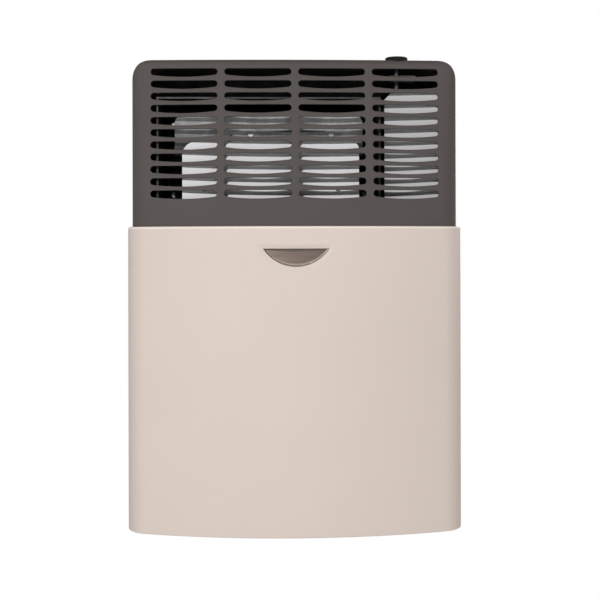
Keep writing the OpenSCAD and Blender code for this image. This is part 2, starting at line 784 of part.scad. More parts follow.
module back_plate() color("#A8ABAD") from_base() difference() {
    union() {
        translate([-side_in, -plate_t, plate_low]) cube([2 * side_in, plate_t, plate_top - plate_low]);
        for (s = [-1, 1]) translate([s > 0 ? side_in - plate_t : -side_in, -flange_d, plate_low])
            cube([plate_t, flange_d, plate_top - plate_low - hood_corner_r]);
    }
    fixing_holes();
    translate([chamber_x, cut, flue_h]) rotate([90, 0, 0])
        cylinder(r = flue_hole_r, h = plate_t + 2 * cut);
    for (s = [-1, 1]) {
        translate([s * side_in, -screw_y, hood_screw_z]) rotate([0, 90, 0])
            cylinder(r = screw_r + screw_clear, h = 4 * plate_t, center = true);
        translate([s * side_in, -plate_t / 2, plate_top]) rotate([0, 45, 0])
            cube([hood_corner_r, plate_t + 2 * cut, hood_corner_r], center = true);
    }
}

// Two folded hooks on the back plate, which carry the hood's top.
module hanging_hooks() color("#A8ABAD") from_base() {
    for (s = [-1, 1]) translate([s * hook_x - hook_w / 2, 0, 0]) {
        translate([0, -2 * plate_t, plate_top - hook_tab])
            cube([hook_w, plate_t, cabinet_h - sheet_t - plate_top + hook_tab]);
        translate([0, -hook_reach, cabinet_h - sheet_t - plate_t])
            cube([hook_w, hook_reach - plate_t, plate_t]);
    }
}

// Small joggled brackets that hold the panel's sides off the back plate's flanges.
module panel_brackets() color("#A8ABAD") from_base() {
    for (s = [-1, 1], z = panel_bracket_z) translate([0, 0, z - z_bracket_w / 2])
        on_side(s) {
            translate([side_in, -flange_d, 0]) cube([plate_t, flange_d - 8, z_bracket_w]);
            translate([side_in, -flange_d, 0]) cube([panel_in - side_in, plate_t, z_bracket_w]);
            translate([panel_in - plate_t, -flange_d, 0]) difference() {
                cube([plate_t, flange_d - 8, z_bracket_w]);
                translate([plate_t / 2, flange_d - screw_y, z_bracket_w / 2]) rotate([0, 90, 0])
                    cylinder(r = screw_r + screw_clear, h = 4 * plate_t, center = true);
            }
        }
}

// The right side's geometry as it is, the left side's as its mirror image.
module on_side(s) {
    if (s > 0) children();
    else mirror([1, 0, 0]) children();
}

module cabinet_screws() color("#3A3938") from_base() {
    for (s = [-1, 1]) {
        screw_side([s * hood_w / 2, -screw_y, hood_screw_z], s, 6);
        for (z = panel_bracket_z) screw_side([s * cabinet_w / 2, -screw_y, z], s, 4);
    }
}

// ---- duct and shields ----

// One folded sheet: left wall, roof and right wall, with lips round its front edge and rear feet.
module duct_outline(grow) {
    difference() {
        translate([duct_left_x - grow, duct_low])
            square([duct_right_x - duct_left_x + 2 * grow, duct_top - duct_low + grow]);
        translate([duct_left_x + shield_t, duct_low - cut])
            square([duct_right_x - duct_left_x - 2 * shield_t, duct_top - duct_low - shield_t + cut]);
    }
}

module convection_duct() color("#AEB1B2") from_base() {
    upright(plate_t, duct_d - plate_t) duct_outline(0);
    upright(duct_d - shield_t, shield_t) duct_outline(duct_lip);
    translate([duct_left_x + shield_t, -plate_t - shield_t, duct_low])
        cube([foot_l, shield_t, duct_top - duct_low - shield_t]);
    translate([duct_right_x - shield_t - foot_l, -plate_t - shield_t, duct_low])
        cube([foot_l, shield_t, duct_top - duct_low - shield_t]);
}

// Front view of the shield in front of the chamber, with its top corners cut across.
module radiant_shield() color("#E4E4E2") from_base() {
    x0 = shield_mid - shield_w / 2;
    x1 = shield_mid + shield_w / 2;
    c = shield_chamfer;
    upright(shield_y - shield_t, shield_t) difference() {
        polygon([[x0, shield_low], [x1, shield_low], [x1, shield_top - c], [x1 - c, shield_top],
            [x0 + c, shield_top], [x0, shield_top - c]]);
        for (p = shield_bracket_at) translate([p[0], p[1] - z_tab_l / 2])
            circle(r = screw_r + screw_clear, $fn = 24);
    }
    for (x = [x0, x1 - shield_t]) translate([x, -shield_y + shield_t, shield_low])
        cube([shield_t, shield_return, shield_top - shield_low - 2 * c]);
}

z_bracket_in = 30;
z_bracket_up = 20;
z_bracket_drop = 55;
shield_bracket_at = [for (s = [-1, 1], z = [shield_low + z_bracket_up, shield_top - z_bracket_drop])
    [shield_mid + s * (shield_w / 2 - z_bracket_in), z]];

// Z-shaped straps from the chamber's front to the shield's back.
module shield_brackets() color("#A8ABAD") from_base() {
    for (p = shield_bracket_at) translate([p[0], 0, p[1]]) {
        translate([-z_bracket_w / 2, -chamber_front_y - plate_t, 0])
            cube([z_bracket_w, plate_t, z_tab_l]);
        translate([-z_bracket_w / 2, -shield_back, 0])
            cube([z_bracket_w, shield_back - chamber_front_y, plate_t]);
        translate([-z_bracket_w / 2, -shield_back, -z_tab_l]) difference() {
            cube([z_bracket_w, plate_t, z_tab_l + plate_t]);
            translate([z_bracket_w / 2, 2 * plate_t, z_tab_l / 2]) rotate([90, 0, 0])
                cylinder(r = screw_r + 0.05, h = 4 * plate_t, $fn = 24);
        }
    }
}

// A strip across the chamber's front with two long slits, which the shield's screws clip into.
hanger_w = 110;
hanger_h = 20;
hanger_gap = 4;
hanger_low = shield_top + hanger_gap;
slit_z = 12;
slit_h = 3;
slit_in = 11;
slit_l = 42;
slit_right_l = 34;
hanger_screw_in = 5;
module shield_hanger() color("#9A9D9F") from_base() upright(chamber_front_y, plate_t)
    translate([chamber_x, hanger_low]) difference() {
        translate([-hanger_w / 2, 0]) square([hanger_w, hanger_h]);
        translate([-hanger_w / 2 + slit_in, slit_z]) square([slit_l, slit_h]);
        translate([hanger_w / 2 - slit_in - slit_right_l, slit_z]) square([slit_right_l, slit_h]);
        for (s = [-1, 1]) translate([s * (hanger_w / 2 - hanger_screw_in), hanger_screw_in])
            circle(r = screw_r, $fn = 24);
    }

module shield_screws() color("#D6D8DA") from_base() {
    for (s = [-1, 1]) screw_back([chamber_x + s * (hanger_w / 2 - hanger_screw_in),
            -chamber_front_y - plate_t, hanger_low + hanger_screw_in], 4);
    for (p = shield_bracket_at)
        screw_back([p[0], -shield_y, p[1] - z_tab_l / 2], shield_t + plate_t);
}

// An angle of sheet in front of the rod and the valve, with a foot on the back plate.
module valve_shield() color("#DDDDDB") from_base() {
    x0 = valve_shield_left;
    x1 = valve_shield_right;
    c = shield_chamfer;
    upright(valve_shield_y - shield_t, shield_t)
        polygon([[x0, valve_shield_low], [x1, valve_shield_low], [x1, valve_shield_top],
            [x0 + c, valve_shield_top], [x0, valve_shield_top - c]]);
    translate([x1 - shield_t, -valve_shield_y, valve_shield_low])
        cube([shield_t, valve_shield_y - plate_t, valve_shield_top - valve_shield_low]);
    translate([x1 - foot_l, -plate_t - shield_t, valve_shield_low])
        cube([foot_l, shield_t, valve_shield_top - valve_shield_low]);
}

// ---- combustion chamber ----

// A pan with a round cornered outline, open towards the joint, and its flange on the joint.
module chamber_outline(grow) {
    translate([chamber_x, chamber_mid])
        round_plate(chamber_w + 2 * grow, chamber_h + 2 * grow, chamber_r + max(grow, -chamber_r / 2));
}

module flange_screw_holes() {
    for (p = flange_screws) translate([p[0], -joint_y + 10, p[1]]) rotate([90, 0, 0])
        cylinder(r = screw_r + 0.1, h = 20, $fn = 24);
}

module chamber_front() color("#8E9192") from_base() difference() {
    union() {
        upright(joint_front, chamber_front_y - joint_front) chamber_outline(0);
        upright(joint_front, chamber_t) chamber_outline(chamber_flange);
    }
    upright(joint_front - cut, chamber_front_y - joint_front - chamber_t + cut)
        chamber_outline(-chamber_t);
    flange_screw_holes();
    upright(chamber_front_y - chamber_t - cut, chamber_t + 2 * cut) {
        translate([chamber_x, door_bottom + door_h / 2])
            square([door_w - 2 * door_margin, door_h - 2 * door_margin], center = true);
        translate([glass_x, glass_z]) circle(r = glass_r - 4);
    }
    for (p = door_screws) translate([p[0], -chamber_front_y + 5, p[1]]) rotate([90, 0, 0])
        cylinder(r = screw_r, h = 10, $fn = 24);
    for (s = [-1, 1]) translate([chamber_x + s * (hanger_w / 2 - hanger_screw_in),
            -chamber_front_y + 5, hanger_low + hanger_screw_in]) rotate([90, 0, 0])
        cylinder(r = screw_r, h = 10, $fn = 24);
}

// Four air inlets in the rear wall, inside the air box, and the exhaust hole.
air_hole_r = 14;
air_hole_pitch = 36;
air_hole_up = 40;
module chamber_back() color("#8E9192") from_base() difference() {
    union() {
        upright(chamber_back_y, joint_back - chamber_back_y) chamber_outline(0);
        upright(joint_back - chamber_t, chamber_t) chamber_outline(chamber_flange);
    }
    upright(chamber_back_y + chamber_t, joint_back - chamber_back_y) chamber_outline(-chamber_t);
    flange_screw_holes();
    translate([chamber_x, -chamber_back_y + cut, flue_h]) rotate([90, 0, 0])
        cylinder(r = exhaust_r - 2, h = chamber_t + 2 * cut);
    for (k = [-1.5:1.5])
        translate([chamber_x + k * air_hole_pitch, -chamber_back_y + cut, chamber_low + air_hole_up])
            rotate([90, 0, 0]) cylinder(r = air_hole_r, h = chamber_t + 2 * cut);
}

module chamber_gasket() color("#E6E3DA") from_base() difference() {
    upright(joint_back, gasket_t) chamber_outline(chamber_flange);
    upright(joint_back - cut, gasket_t + 2 * cut) chamber_outline(0);
    flange_screw_holes();
}

module chamber_screws() color("#B9BBBC") from_base() {
    for (p = flange_screws) screw_back([p[0], -joint_front - chamber_t, p[1]],
        gasket_t + 2 * chamber_t);
}

// Four folded brackets from the back plate to the back of the chamber's flange.
chamber_bracket_t = 1.5;
chamber_bracket_up = 35;
chamber_bracket_drop = 40;
module chamber_brackets() color("#A8ABAD") from_base() {
    y0 = joint_back - chamber_t;
    for (s = [-1, 1], z = [chamber_low + chamber_bracket_up, chamber_top - chamber_bracket_drop])
        translate([chamber_x, 0, z - z_bracket_w / 2]) on_side(s) {
            translate([chamber_w / 2 + 1, -y0, 0])
                cube([chamber_bracket_t, y0 - plate_t, z_bracket_w]);
            translate([chamber_w / 2 + 1, -y0, 0])
                cube([chamber_flange - 1, chamber_bracket_t, z_bracket_w]);
            translate([chamber_w / 2 + 1 - foot_l, -plate_t - chamber_bracket_t, 0])
                cube([foot_l, chamber_bracket_t, z_bracket_w]);
        }
}

// A shallow pan behind the chamber that leads the air from its spigot to the air inlets.
air_box_margin = 10;
air_box_r = 12;
air_box_flange = 8;
air_box_gap = 1;
air_box_w = 2 * (intake_r + air_box_margin);
air_box_low = chamber_low + air_box_margin;
air_box_top = flue_h + intake_r + 1.5 * air_box_margin;
air_box_y = plate_t + air_box_gap;
module air_box_outline(grow) {
    translate([chamber_x, (air_box_low + air_box_top) / 2])
        round_plate(air_box_w + 2 * grow, air_box_top - air_box_low + 2 * grow, air_box_r);
}

module air_box() color("#8E9192") from_base() difference() {
    union() {
        upright(air_box_y, chamber_back_y - air_box_y) air_box_outline(0);
        upright(chamber_back_y - chamber_t, chamber_t) air_box_outline(air_box_flange);
    }
    upright(air_box_y + chamber_t, chamber_back_y) air_box_outline(-chamber_t);
    translate([chamber_x, 0, flue_h]) rotate([90, 0, 0])
        cylinder(r = intake_r - spigot_t, h = 3 * air_box_y);
}

// A round tube through the wall, from y0 in front of the wall plane to y1 behind it.
module spigot(r, y0, y1) {
    translate([chamber_x, y1, flue_h]) rotate([90, 0, 0]) difference() {
        cylinder(r = r, h = y0 + y1, $fn = 96);
        translate([0, 0, -cut]) cylinder(r = r - spigot_t, h = y0 + y1 + 2 * cut, $fn = 96);
    }
}

module intake_collar() color("#9A9D9F") from_base() spigot(intake_r, air_box_y, intake_reach);

// The exhaust spigot has a narrower neck that stands on the chamber's rear wall.
module exhaust_collar() color("#9A9D9F") from_base() difference() {
    union() {
        translate([chamber_x, exhaust_reach, flue_h]) rotate([90, 0, 0])
            cylinder(r = exhaust_r, h = exhaust_reach, $fn = 96);
        translate([chamber_x, 0, flue_h]) rotate([90, 0, 0])
            cylinder(r = exhaust_r - 2 + spigot_t, h = chamber_back_y, $fn = 96);
    }
    translate([chamber_x, exhaust_reach + cut, flue_h]) rotate([90, 0, 0])
        cylinder(r = exhaust_r - 2, h = exhaust_reach + chamber_back_y + 2 * cut, $fn = 96);
}

// ---- burner ----

module door_outline(grow) {
    translate([chamber_x, door_bottom + door_h / 2])
        round_plate(door_w + 2 * grow, door_h + 2 * grow, 6);
}

module door_screw_holes() {
    for (p = door_screws) translate([p[0], -door_face + 5, p[1]]) rotate([90, 0, 0])
        cylinder(r = screw_r + 0.1, h = 10, $fn = 24);
}

// Holes for the four fittings that pass the door: pilot, electrode, thermocouple and injector.
fitting_r = 3.5;
injector_r = 7;
module burner_door() color("#A8ABAD") from_base() difference() {
    upright(door_y, door_t) door_outline(0);
    door_screw_holes();
    for (x = [pilot_x, electrode_x, couple_x]) translate([x, -door_y + cut, pilot_z])
        rotate([90, 0, 0]) cylinder(r = fitting_r, h = door_t + 2 * cut, $fn = 24);
    translate([injector_x, -door_y + cut, burner_z])
        rotate([90, 0, 0]) cylinder(r = injector_r, h = door_t + 2 * cut);
}

module door_gasket() color("#E6E3DA") from_base() difference() {
    upright(door_gasket_y, door_gasket_t) door_outline(0);
    upright(door_gasket_y - cut, door_gasket_t + 2 * cut) translate([chamber_x, door_bottom + door_h / 2])
        square([door_w - 2 * door_margin, door_h - 2 * door_margin], center = true);
    door_screw_holes();
}

module door_screws() color("#B9BBBC") from_base() {
    for (p = door_screws) screw_back([p[0], -door_face, p[1]], door_t + door_gasket_t + chamber_t + 2);
}

module sight_glass() color("#C9DDE0", 0.5) from_base()
    translate([glass_x, -chamber_front_y, glass_z]) rotate([90, 0, 0]) cylinder(r = glass_r, h = glass_t);

// A pressed ring over the glass, with a rim that stands on the chamber.
glass_clear = 0.5;
module sight_glass_frame() color("#B9BBBC") from_base()
    translate([glass_x, -chamber_front_y, glass_z]) rotate([90, 0, 0]) difference() {
        union() {
            cylinder(r = glass_r + glass_clear + 1.5, h = glass_t + 1.5);
            cylinder(r = glass_r + 8, h = 1.5);
        }
        translate([0, 0, -cut]) cylinder(r = glass_r - 4, h = glass_t + 4);
        translate([0, 0, -cut]) cylinder(r = glass_r + glass_clear, h = glass_t + cut);
    }

// The burner is a tube with a closed left end, an open mouth and two rows of ports on top.
port_l = 9;
port_w = 1.5;
port_gap = 2;
port_end = 10;
port_mouth = 25;
module burner_tube() color("#7F8283") from_base()
    translate([burner_left_x, -burner_y, burner_z]) difference() {
        rotate([0, 90, 0]) cylinder(r = burner_r, h = burner_l);
        translate([burner_t, 0, 0]) rotate([0, 90, 0]) cylinder(r = burner_r - burner_t, h = burner_l);
        for (k = [0:burner_ports - 1], s = [-1, 1])
            translate([port_end + k * (burner_l - port_end - port_mouth) / (burner_ports - 1),
                    s * (port_l + port_gap) / 2, burner_r / 2])
                translate([-port_w / 2, -port_l / 2, 0]) cube([port_w, port_l, burner_r]);
    }

// Two saddles that stand on the inside of the door and carry the burner tube.
saddle_h = 16;
saddle_left = 15;
saddle_right = 35;
module burner_brackets() color("#A8ABAD") from_base() {
    for (x = [burner_left_x + saddle_left, burner_right_x - saddle_right]) difference() {
        translate([x, -door_y, burner_z - saddle_h / 2]) cube([chamber_t, door_y - burner_y, saddle_h]);
        translate([x - cut, -burner_y, burner_z]) rotate([0, 90, 0])
            cylinder(r = burner_r, h = chamber_t + 2 * cut);
    }
}

// A brass elbow through the door, whose nozzle points into the burner's mouth.
module injector() color("#C8A24A") from_base() {
    nozzle = [injector_x, -burner_y, burner_z];
    difference() {
        union() {
            bar([injector_x, lead_y - pipe_r - 2, burner_z], [injector_x, -burner_y + 6, burner_z],
                injector_r - 0.1);
            bar(nozzle, nozzle - [20, 0, 0], 5);
        }
        translate([injector_x, lead_y, burner_z]) rotate([0, 90, 0])
            cylinder(r = pipe_r, h = injector_r + cut, $fn = 24);
    }
}

module burner_pipe() color("#C77A4E") from_base() bent_tube([
    [injector_x, lead_y, burner_z], [riser_x, lead_y, burner_z],
    [riser_x, lead_y, burner_out_z], [valve_left_x - boss_l + 2, lead_y, burner_out_z]],
    pipe_r, 6);

// A pilot head with a shield over its flame, on a stem through the door.
module pilot_burner() color("#B79A55") from_base() {
    bar([pilot_x, -door_face - 2, pilot_z], [pilot_x, -burner_y - 6, pilot_z], fitting_r - 0.1);
    translate([pilot_x, -burner_y - 6, pilot_z]) difference() {
        translate([0, 0, -7]) cylinder(r = 6, h = 14);
        translate([0, 4, -4]) cylinder(r = 5, h = 12);
    }
}

pilot_turn_gap = 5;
pilot_turn_x = chamber_right_x + pilot_turn_gap;
pilot_run_up = 17;
pilot_run_z = burner_z + pilot_run_up;
module pilot_tube() color("#C77A4E") from_base() bent_tube([
    [pilot_x, -door_face - 2, pilot_z], [pilot_x, lead_y, pilot_z], [pilot_x, lead_y, pilot_run_z],
    [pilot_turn_x, lead_y, pilot_run_z], [pilot_turn_x, pilot_out_y, pilot_run_z],
    [pilot_turn_x, pilot_out_y, pilot_out_z], [valve_left_x - boss_l + 2, pilot_out_y, pilot_out_z]],
    pilot_r, 4);

// The probe stands in the pilot's flame, and its lead ends in the safety magnet.
couple_turn_gap = 10;
couple_turn_x = chamber_right_x + couple_turn_gap;
couple_sag = 8;
couple_run_z = valve_low - magnet_h - couple_sag;
module thermocouple() color("#C98A5E") from_base() {
    bar([couple_x, -door_face - 2, pilot_z], [couple_x, -burner_y - 2, pilot_z], fitting_r - 0.1);
    bent_tube([[couple_x, -door_face - 1, pilot_z], [couple_x, lead_y, pilot_z],
        [couple_turn_x, lead_y, pilot_z], [couple_turn_x, knob_y, pilot_z],
        [couple_turn_x, knob_y, couple_run_z], [knob_x, knob_y, couple_run_z],
        [knob_x, knob_y, valve_low - magnet_h]], lead_r, 4);
}

// A white ceramic body with a steel tip.
module spark_electrode() color("#F1EFE8") from_base() {
    bar([electrode_x, -door_face - 2, pilot_z], [electrode_x, -burner_y - 12, pilot_z], fitting_r - 0.1);
    bar([electrode_x, -burner_y - 12, pilot_z], [electrode_x, -burner_y, pilot_z], 1);
}

cable_rise = 30;
cable_run_z = pilot_z + cable_rise;
cable_turn_gap = 13.5;
cable_turn_x = chamber_right_x + cable_turn_gap;
piezo_plug_l = 8;
module ignition_cable() color("#D9D6CE") from_base() bent_tube([
    [electrode_x, -door_face - 2, pilot_z], [electrode_x, lead_y, pilot_z],
    [electrode_x, lead_y, cable_run_z], [cable_turn_x, lead_y, cable_run_z],
    [cable_turn_x, piezo_y, cable_run_z], [piezo_x - piezo_r - piezo_plug_l, piezo_y, cable_run_z]],
    cable_r, 4);

// ---- gas valve ----

module piezo_igniter() color("#3A3A3C") from_base() {
    translate([piezo_x, piezo_y, valve_low]) {
        cylinder(r = piezo_r, h = piezo_h);
        cylinder(r = piezo_r + 2, h = 4, $fn = 6);
    }
    bar([piezo_x, piezo_y, cable_run_z], [piezo_x - piezo_r - piezo_plug_l, piezo_y, cable_run_z],
        cable_r + 1);
}

module gas_valve() color("#B7B9BA") from_base() difference() {
    union() {
        translate([valve_left_x + valve_w / 2, knob_y, valve_low]) linear_extrude(valve_h)
            round_plate(valve_w, valve_d, 6);
        translate([knob_x, knob_y, valve_top]) cylinder(r = turret_r, h = turret_h);
        bar([valve_left_x - boss_l, lead_y, burner_out_z], [valve_left_x + 3, lead_y, burner_out_z],
            pipe_r + 3.5);
        bar([valve_left_x - boss_l, pilot_out_y, pilot_out_z],
            [valve_left_x + 3, pilot_out_y, pilot_out_z], pilot_r + 3);
    }
    translate([knob_x, knob_y, spindle_low - journal_gap])
        cylinder(r = journal_r + journal_clear, h = journal_l + journal_gap + cut);
    bar([valve_left_x - boss_l - cut, lead_y, burner_out_z], [valve_left_x - boss_l + 2, lead_y, burner_out_z],
        pipe_r);
    bar([valve_left_x - boss_l - cut, pilot_out_y, pilot_out_z],
        [valve_left_x - boss_l + 2, pilot_out_y, pilot_out_z], pilot_r);
}

module safety_magnet() color("#C8A24A") from_base() at_knob()
    translate([0, 0, valve_low - magnet_h]) cylinder(r = magnet_r, h = magnet_h);

// A hexagon collar and a threaded stub that points down.
module gas_inlet() color("#C8A24A") from_base() translate([inlet_x, knob_y, 0]) {
    translate([0, 0, valve_low - shelf_t - inlet_collar_h - inlet_l])
        cylinder(r = inlet_r, h = inlet_l);
    translate([0, 0, valve_low - shelf_t - inlet_collar_h])
        cylinder(r = inlet_r + 3, h = inlet_collar_h, $fn = 6);
    translate([0, 0, valve_low - shelf_t]) cylinder(r = inlet_r - 1, h = shelf_t);
}

// A shelf from the back plate under the valve, with a foot folded up and a front lip folded down.
shelf_side = 6;
shelf_left = 10;
shelf_front = 3;
shelf_foot = 25;
shelf_lip = 10;
shelf_x0 = valve_left_x - shelf_left;
shelf_x1 = valve_left_x + valve_w + shelf_side;
module valve_bracket() color("#9EA1A3") from_base() difference() {
    depth = -knob_y + valve_d / 2 + shelf_front;
    union() {
        translate([shelf_x0, -depth, valve_low - shelf_t])
            cube([shelf_x1 - shelf_x0, depth - plate_t, shelf_t]);
        translate([shelf_x0, -plate_t - shelf_t, valve_low - shelf_t])
            cube([shelf_x1 - shelf_x0, shelf_t, shelf_foot]);
        translate([shelf_x0, -depth, valve_low - shelf_lip])
            cube([shelf_x1 - shelf_x0, shelf_t, shelf_lip]);
    }
    translate([knob_x, knob_y, valve_low - shelf_t - cut])
        cylinder(r = magnet_r + 0.2, h = shelf_t + 2 * cut);
    translate([inlet_x, knob_y, valve_low - shelf_t - cut])
        cylinder(r = inlet_r - 0.8, h = shelf_t + 2 * cut);
}

grille_hood();
front_panel();
badge();
badge_clips();
knob();
knob_rod();
return_spring();
valve_spindle();
rod_guide();
back_plate();
hanging_hooks();
panel_brackets();
cabinet_screws();
convection_duct();
radiant_shield();
shield_brackets();
shield_hanger();
shield_screws();
valve_shield();
chamber_front();
chamber_back();
chamber_gasket();
chamber_screws();
chamber_brackets();
air_box();
intake_collar();
exhaust_collar();
burner_door();
door_gasket();
door_screws();
sight_glass();
sight_glass_frame();
burner_tube();
burner_brackets();
injector();
burner_pipe();
pilot_burner();
pilot_tube();
thermocouple();
spark_electrode();
ignition_cable();
piezo_igniter();
gas_valve();
safety_magnet();
gas_inlet();
valve_bracket();
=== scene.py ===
import json
import math

import bmesh
import bpy
from mathutils import Matrix, Vector
from mathutils.geometry import delaunay_2d_cdt


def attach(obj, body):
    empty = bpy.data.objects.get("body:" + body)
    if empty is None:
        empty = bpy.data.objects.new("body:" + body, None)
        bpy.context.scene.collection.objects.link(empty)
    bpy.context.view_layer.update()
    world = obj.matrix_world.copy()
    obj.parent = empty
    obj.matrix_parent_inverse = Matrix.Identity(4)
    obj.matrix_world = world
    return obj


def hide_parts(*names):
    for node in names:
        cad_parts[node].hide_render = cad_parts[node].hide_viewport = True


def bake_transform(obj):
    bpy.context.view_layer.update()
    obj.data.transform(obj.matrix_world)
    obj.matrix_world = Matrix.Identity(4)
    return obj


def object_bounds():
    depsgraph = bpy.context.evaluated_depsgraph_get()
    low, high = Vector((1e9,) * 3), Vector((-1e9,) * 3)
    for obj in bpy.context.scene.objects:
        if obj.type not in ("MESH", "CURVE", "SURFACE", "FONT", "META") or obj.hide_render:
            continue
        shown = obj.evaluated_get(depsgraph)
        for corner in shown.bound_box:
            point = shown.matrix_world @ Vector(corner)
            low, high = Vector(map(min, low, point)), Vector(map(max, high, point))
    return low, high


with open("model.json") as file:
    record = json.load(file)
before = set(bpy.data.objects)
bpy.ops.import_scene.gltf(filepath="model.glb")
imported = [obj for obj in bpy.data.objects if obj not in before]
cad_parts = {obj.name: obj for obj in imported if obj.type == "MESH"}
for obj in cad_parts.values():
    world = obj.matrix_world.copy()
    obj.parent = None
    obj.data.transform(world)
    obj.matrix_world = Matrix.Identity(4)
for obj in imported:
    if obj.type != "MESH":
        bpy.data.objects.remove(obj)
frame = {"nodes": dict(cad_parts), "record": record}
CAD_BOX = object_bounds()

NODES = frame["nodes"]
MM = 0.001

# ---- the photograph's frame: a 600 x 600 image ----
IMAGE = 600.0
SENSOR = 36.0
SCALE_PX = 0.7781          # pixels per millimetre at the front panel's face
DISTANCE = 1.466           # from the lens to that face, in metres
LENS_Z = 0.3724            # the lens above the panel's foot
SHIFT = -0.085
YAW = 1.50                 # the camera stands a little to the left and turns to the right
ROLL = -0.12
MIDDLE_PX = 295.9          # the column where the heater's middle plane falls

# ---- places on the heater, in metres of the frame ----
FOOT_Z = CAD_BOX[0].z
FRONT_Y = -0.195
PANEL_TOP_Z = 0.072
HIGHLIGHT_BAND = (PANEL_TOP_Z - 0.0034, PANEL_TOP_Z - 0.0020)      # painted highlight along the panel's rounded-over top edge: the paint is paler from here up
PAINTED_SHADE_DEPTHS = (-0.1395, -0.1385)           # the chamber keeps its colour before them and is painted nearly black behind them: painted shade
PAINTED_SHADE_HEIGHTS = (0.165, 0.205)              # and keeps it above them and is painted nearly black below them: painted shade


# ---- node helpers ----

class Nodes:
    """A small wrapper that adds nodes and links to one material."""

    def __init__(self, name):
        self.mat = bpy.data.materials.new(name)
        self.mat.use_nodes = True
        self.tree = self.mat.node_tree
        self.tree.nodes.clear()
        self.out = self.tree.nodes.new("ShaderNodeOutputMaterial")
        self.shader = self.tree.nodes.new("ShaderNodeBsdfPrincipled")
        self.tree.links.new(self.shader.outputs[0], self.out.inputs["Surface"])

    def add(self, kind, **values):
        node = self.tree.nodes.new(kind)
        for key, value in values.items():
            setattr(node, key, value)
        return node

    def link(self, a, b):
        self.tree.links.new(a, b)

    def set(self, **values):
        for key, value in values.items():
            self.shader.inputs[key.replace("_", " ")].default_value = value

    def place(self, scale=(1, 1, 1)):
        coord = self.add("ShaderNodeTexCoord")
        mapping = self.add("ShaderNodeMapping")
        mapping.inputs["Scale"].default_value = scale
        self.link(coord.outputs["Object"], mapping.inputs["Vector"])
        return mapping.outputs["Vector"]

    def noise(self, scale, detail=3.0, rough=0.5, stretch=(1, 1, 1)):
        node = self.add("ShaderNodeTexNoise")
        node.inputs["Scale"].default_value = scale
        node.inputs["Detail"].default_value = detail
        node.inputs["Roughness"].default_value = rough
        self.link(self.place(stretch), node.inputs["Vector"])
        return node.outputs["Fac"]

    def ramp(self, source, low, high, a=0.35, b=0.65):
        node = self.add("ShaderNodeMapRange")
        node.inputs["From Min"].default_value = a
        node.inputs["From Max"].default_value = b
        node.inputs["To Min"].default_value = low
        node.inputs["To Max"].default_value = high
        self.link(source, node.inputs["Value"])
        return node.outputs["Result"]

    def mix(self, source, a, b):
        node = self.add("ShaderNodeMix", data_type="RGBA")
        self.link(source, node.inputs[0])
        node.inputs[6].default_value = (*a, 1)
        node.inputs[7].default_value = (*b, 1)
        return node.outputs[2]

    def bump(self, source, strength, distance):
        node = self.add("ShaderNodeBump")
        node.inputs["Strength"].default_value = strength
        node.inputs["Distance"].default_value = distance
        self.link(source, node.inputs["Height"])
        self.link(node.outputs["Normal"], self.shader.inputs["Normal"])


def shade(colour, k):
    return tuple(min(1.0, v * k) for v in colour)


def edge_mask(n, radius):
    """1 along a mesh's edges and corners, 0 on its faces."""
    bevel = n.add("ShaderNodeBevel", samples=6)
    bevel.inputs["Radius"].default_value = radius
    flat = n.add("ShaderNodeNewGeometry")
    dot = n.add("ShaderNodeVectorMath", operation="DOT_PRODUCT")
    n.link(bevel.outputs["Normal"], dot.inputs[0])
    n.link(flat.outputs["Normal"], dot.inputs[1])
    return n.ramp(dot.outputs["Value"], 1.0, 0.0, 0.90, 0.995)


def wear_and_highlight(n, base, mask, colour):
    """Lays a second colour over a first one where the mask is 1: polished edges, and painted
    highlights on paint and sheet edges.
    """
    node = n.add("ShaderNodeMix", data_type="RGBA")
    n.link(mask, node.inputs[0])
    n.link(base, node.inputs[6])
    node.inputs[7].default_value = (*colour, 1)
    return node.outputs[2]


def painted(name, colour, rough, texture=0.05, vary=0.05, level=0.5, painted_highlight=None):
    """Baked paint on sheet: a fine orange peel, slight drifts of tone and of gloss, and, where a
    highlight colour is given, a painted highlight: a paler colour along the sheet's rounded-over
    upper edge."""
    n = Nodes(name)
    base = n.mix(n.ramp(n.noise(6.0, 2.0), 0, 1), shade(colour, 1 - vary), shade(colour, 1 + vary))
    # painted highlight: the colour turns paler towards the top edge
    if painted_highlight:
        split = n.add("ShaderNodeSeparateXYZ")
        n.link(n.place(), split.inputs[0])
        base = wear_and_highlight(n, base, n.ramp(split.outputs["Z"], 0.0, 1.0, *HIGHLIGHT_BAND), painted_highlight)
    n.link(base, n.shader.inputs["Base Color"])
    n.link(n.ramp(n.noise(60.0, 4.0), rough - 0.02, rough + 0.02), n.shader.inputs["Roughness"])
    n.set(IOR=1.5, Specular_IOR_Level=level)
    n.bump(n.noise(900.0, 2.0), texture, 0.0002)
    return n.mat


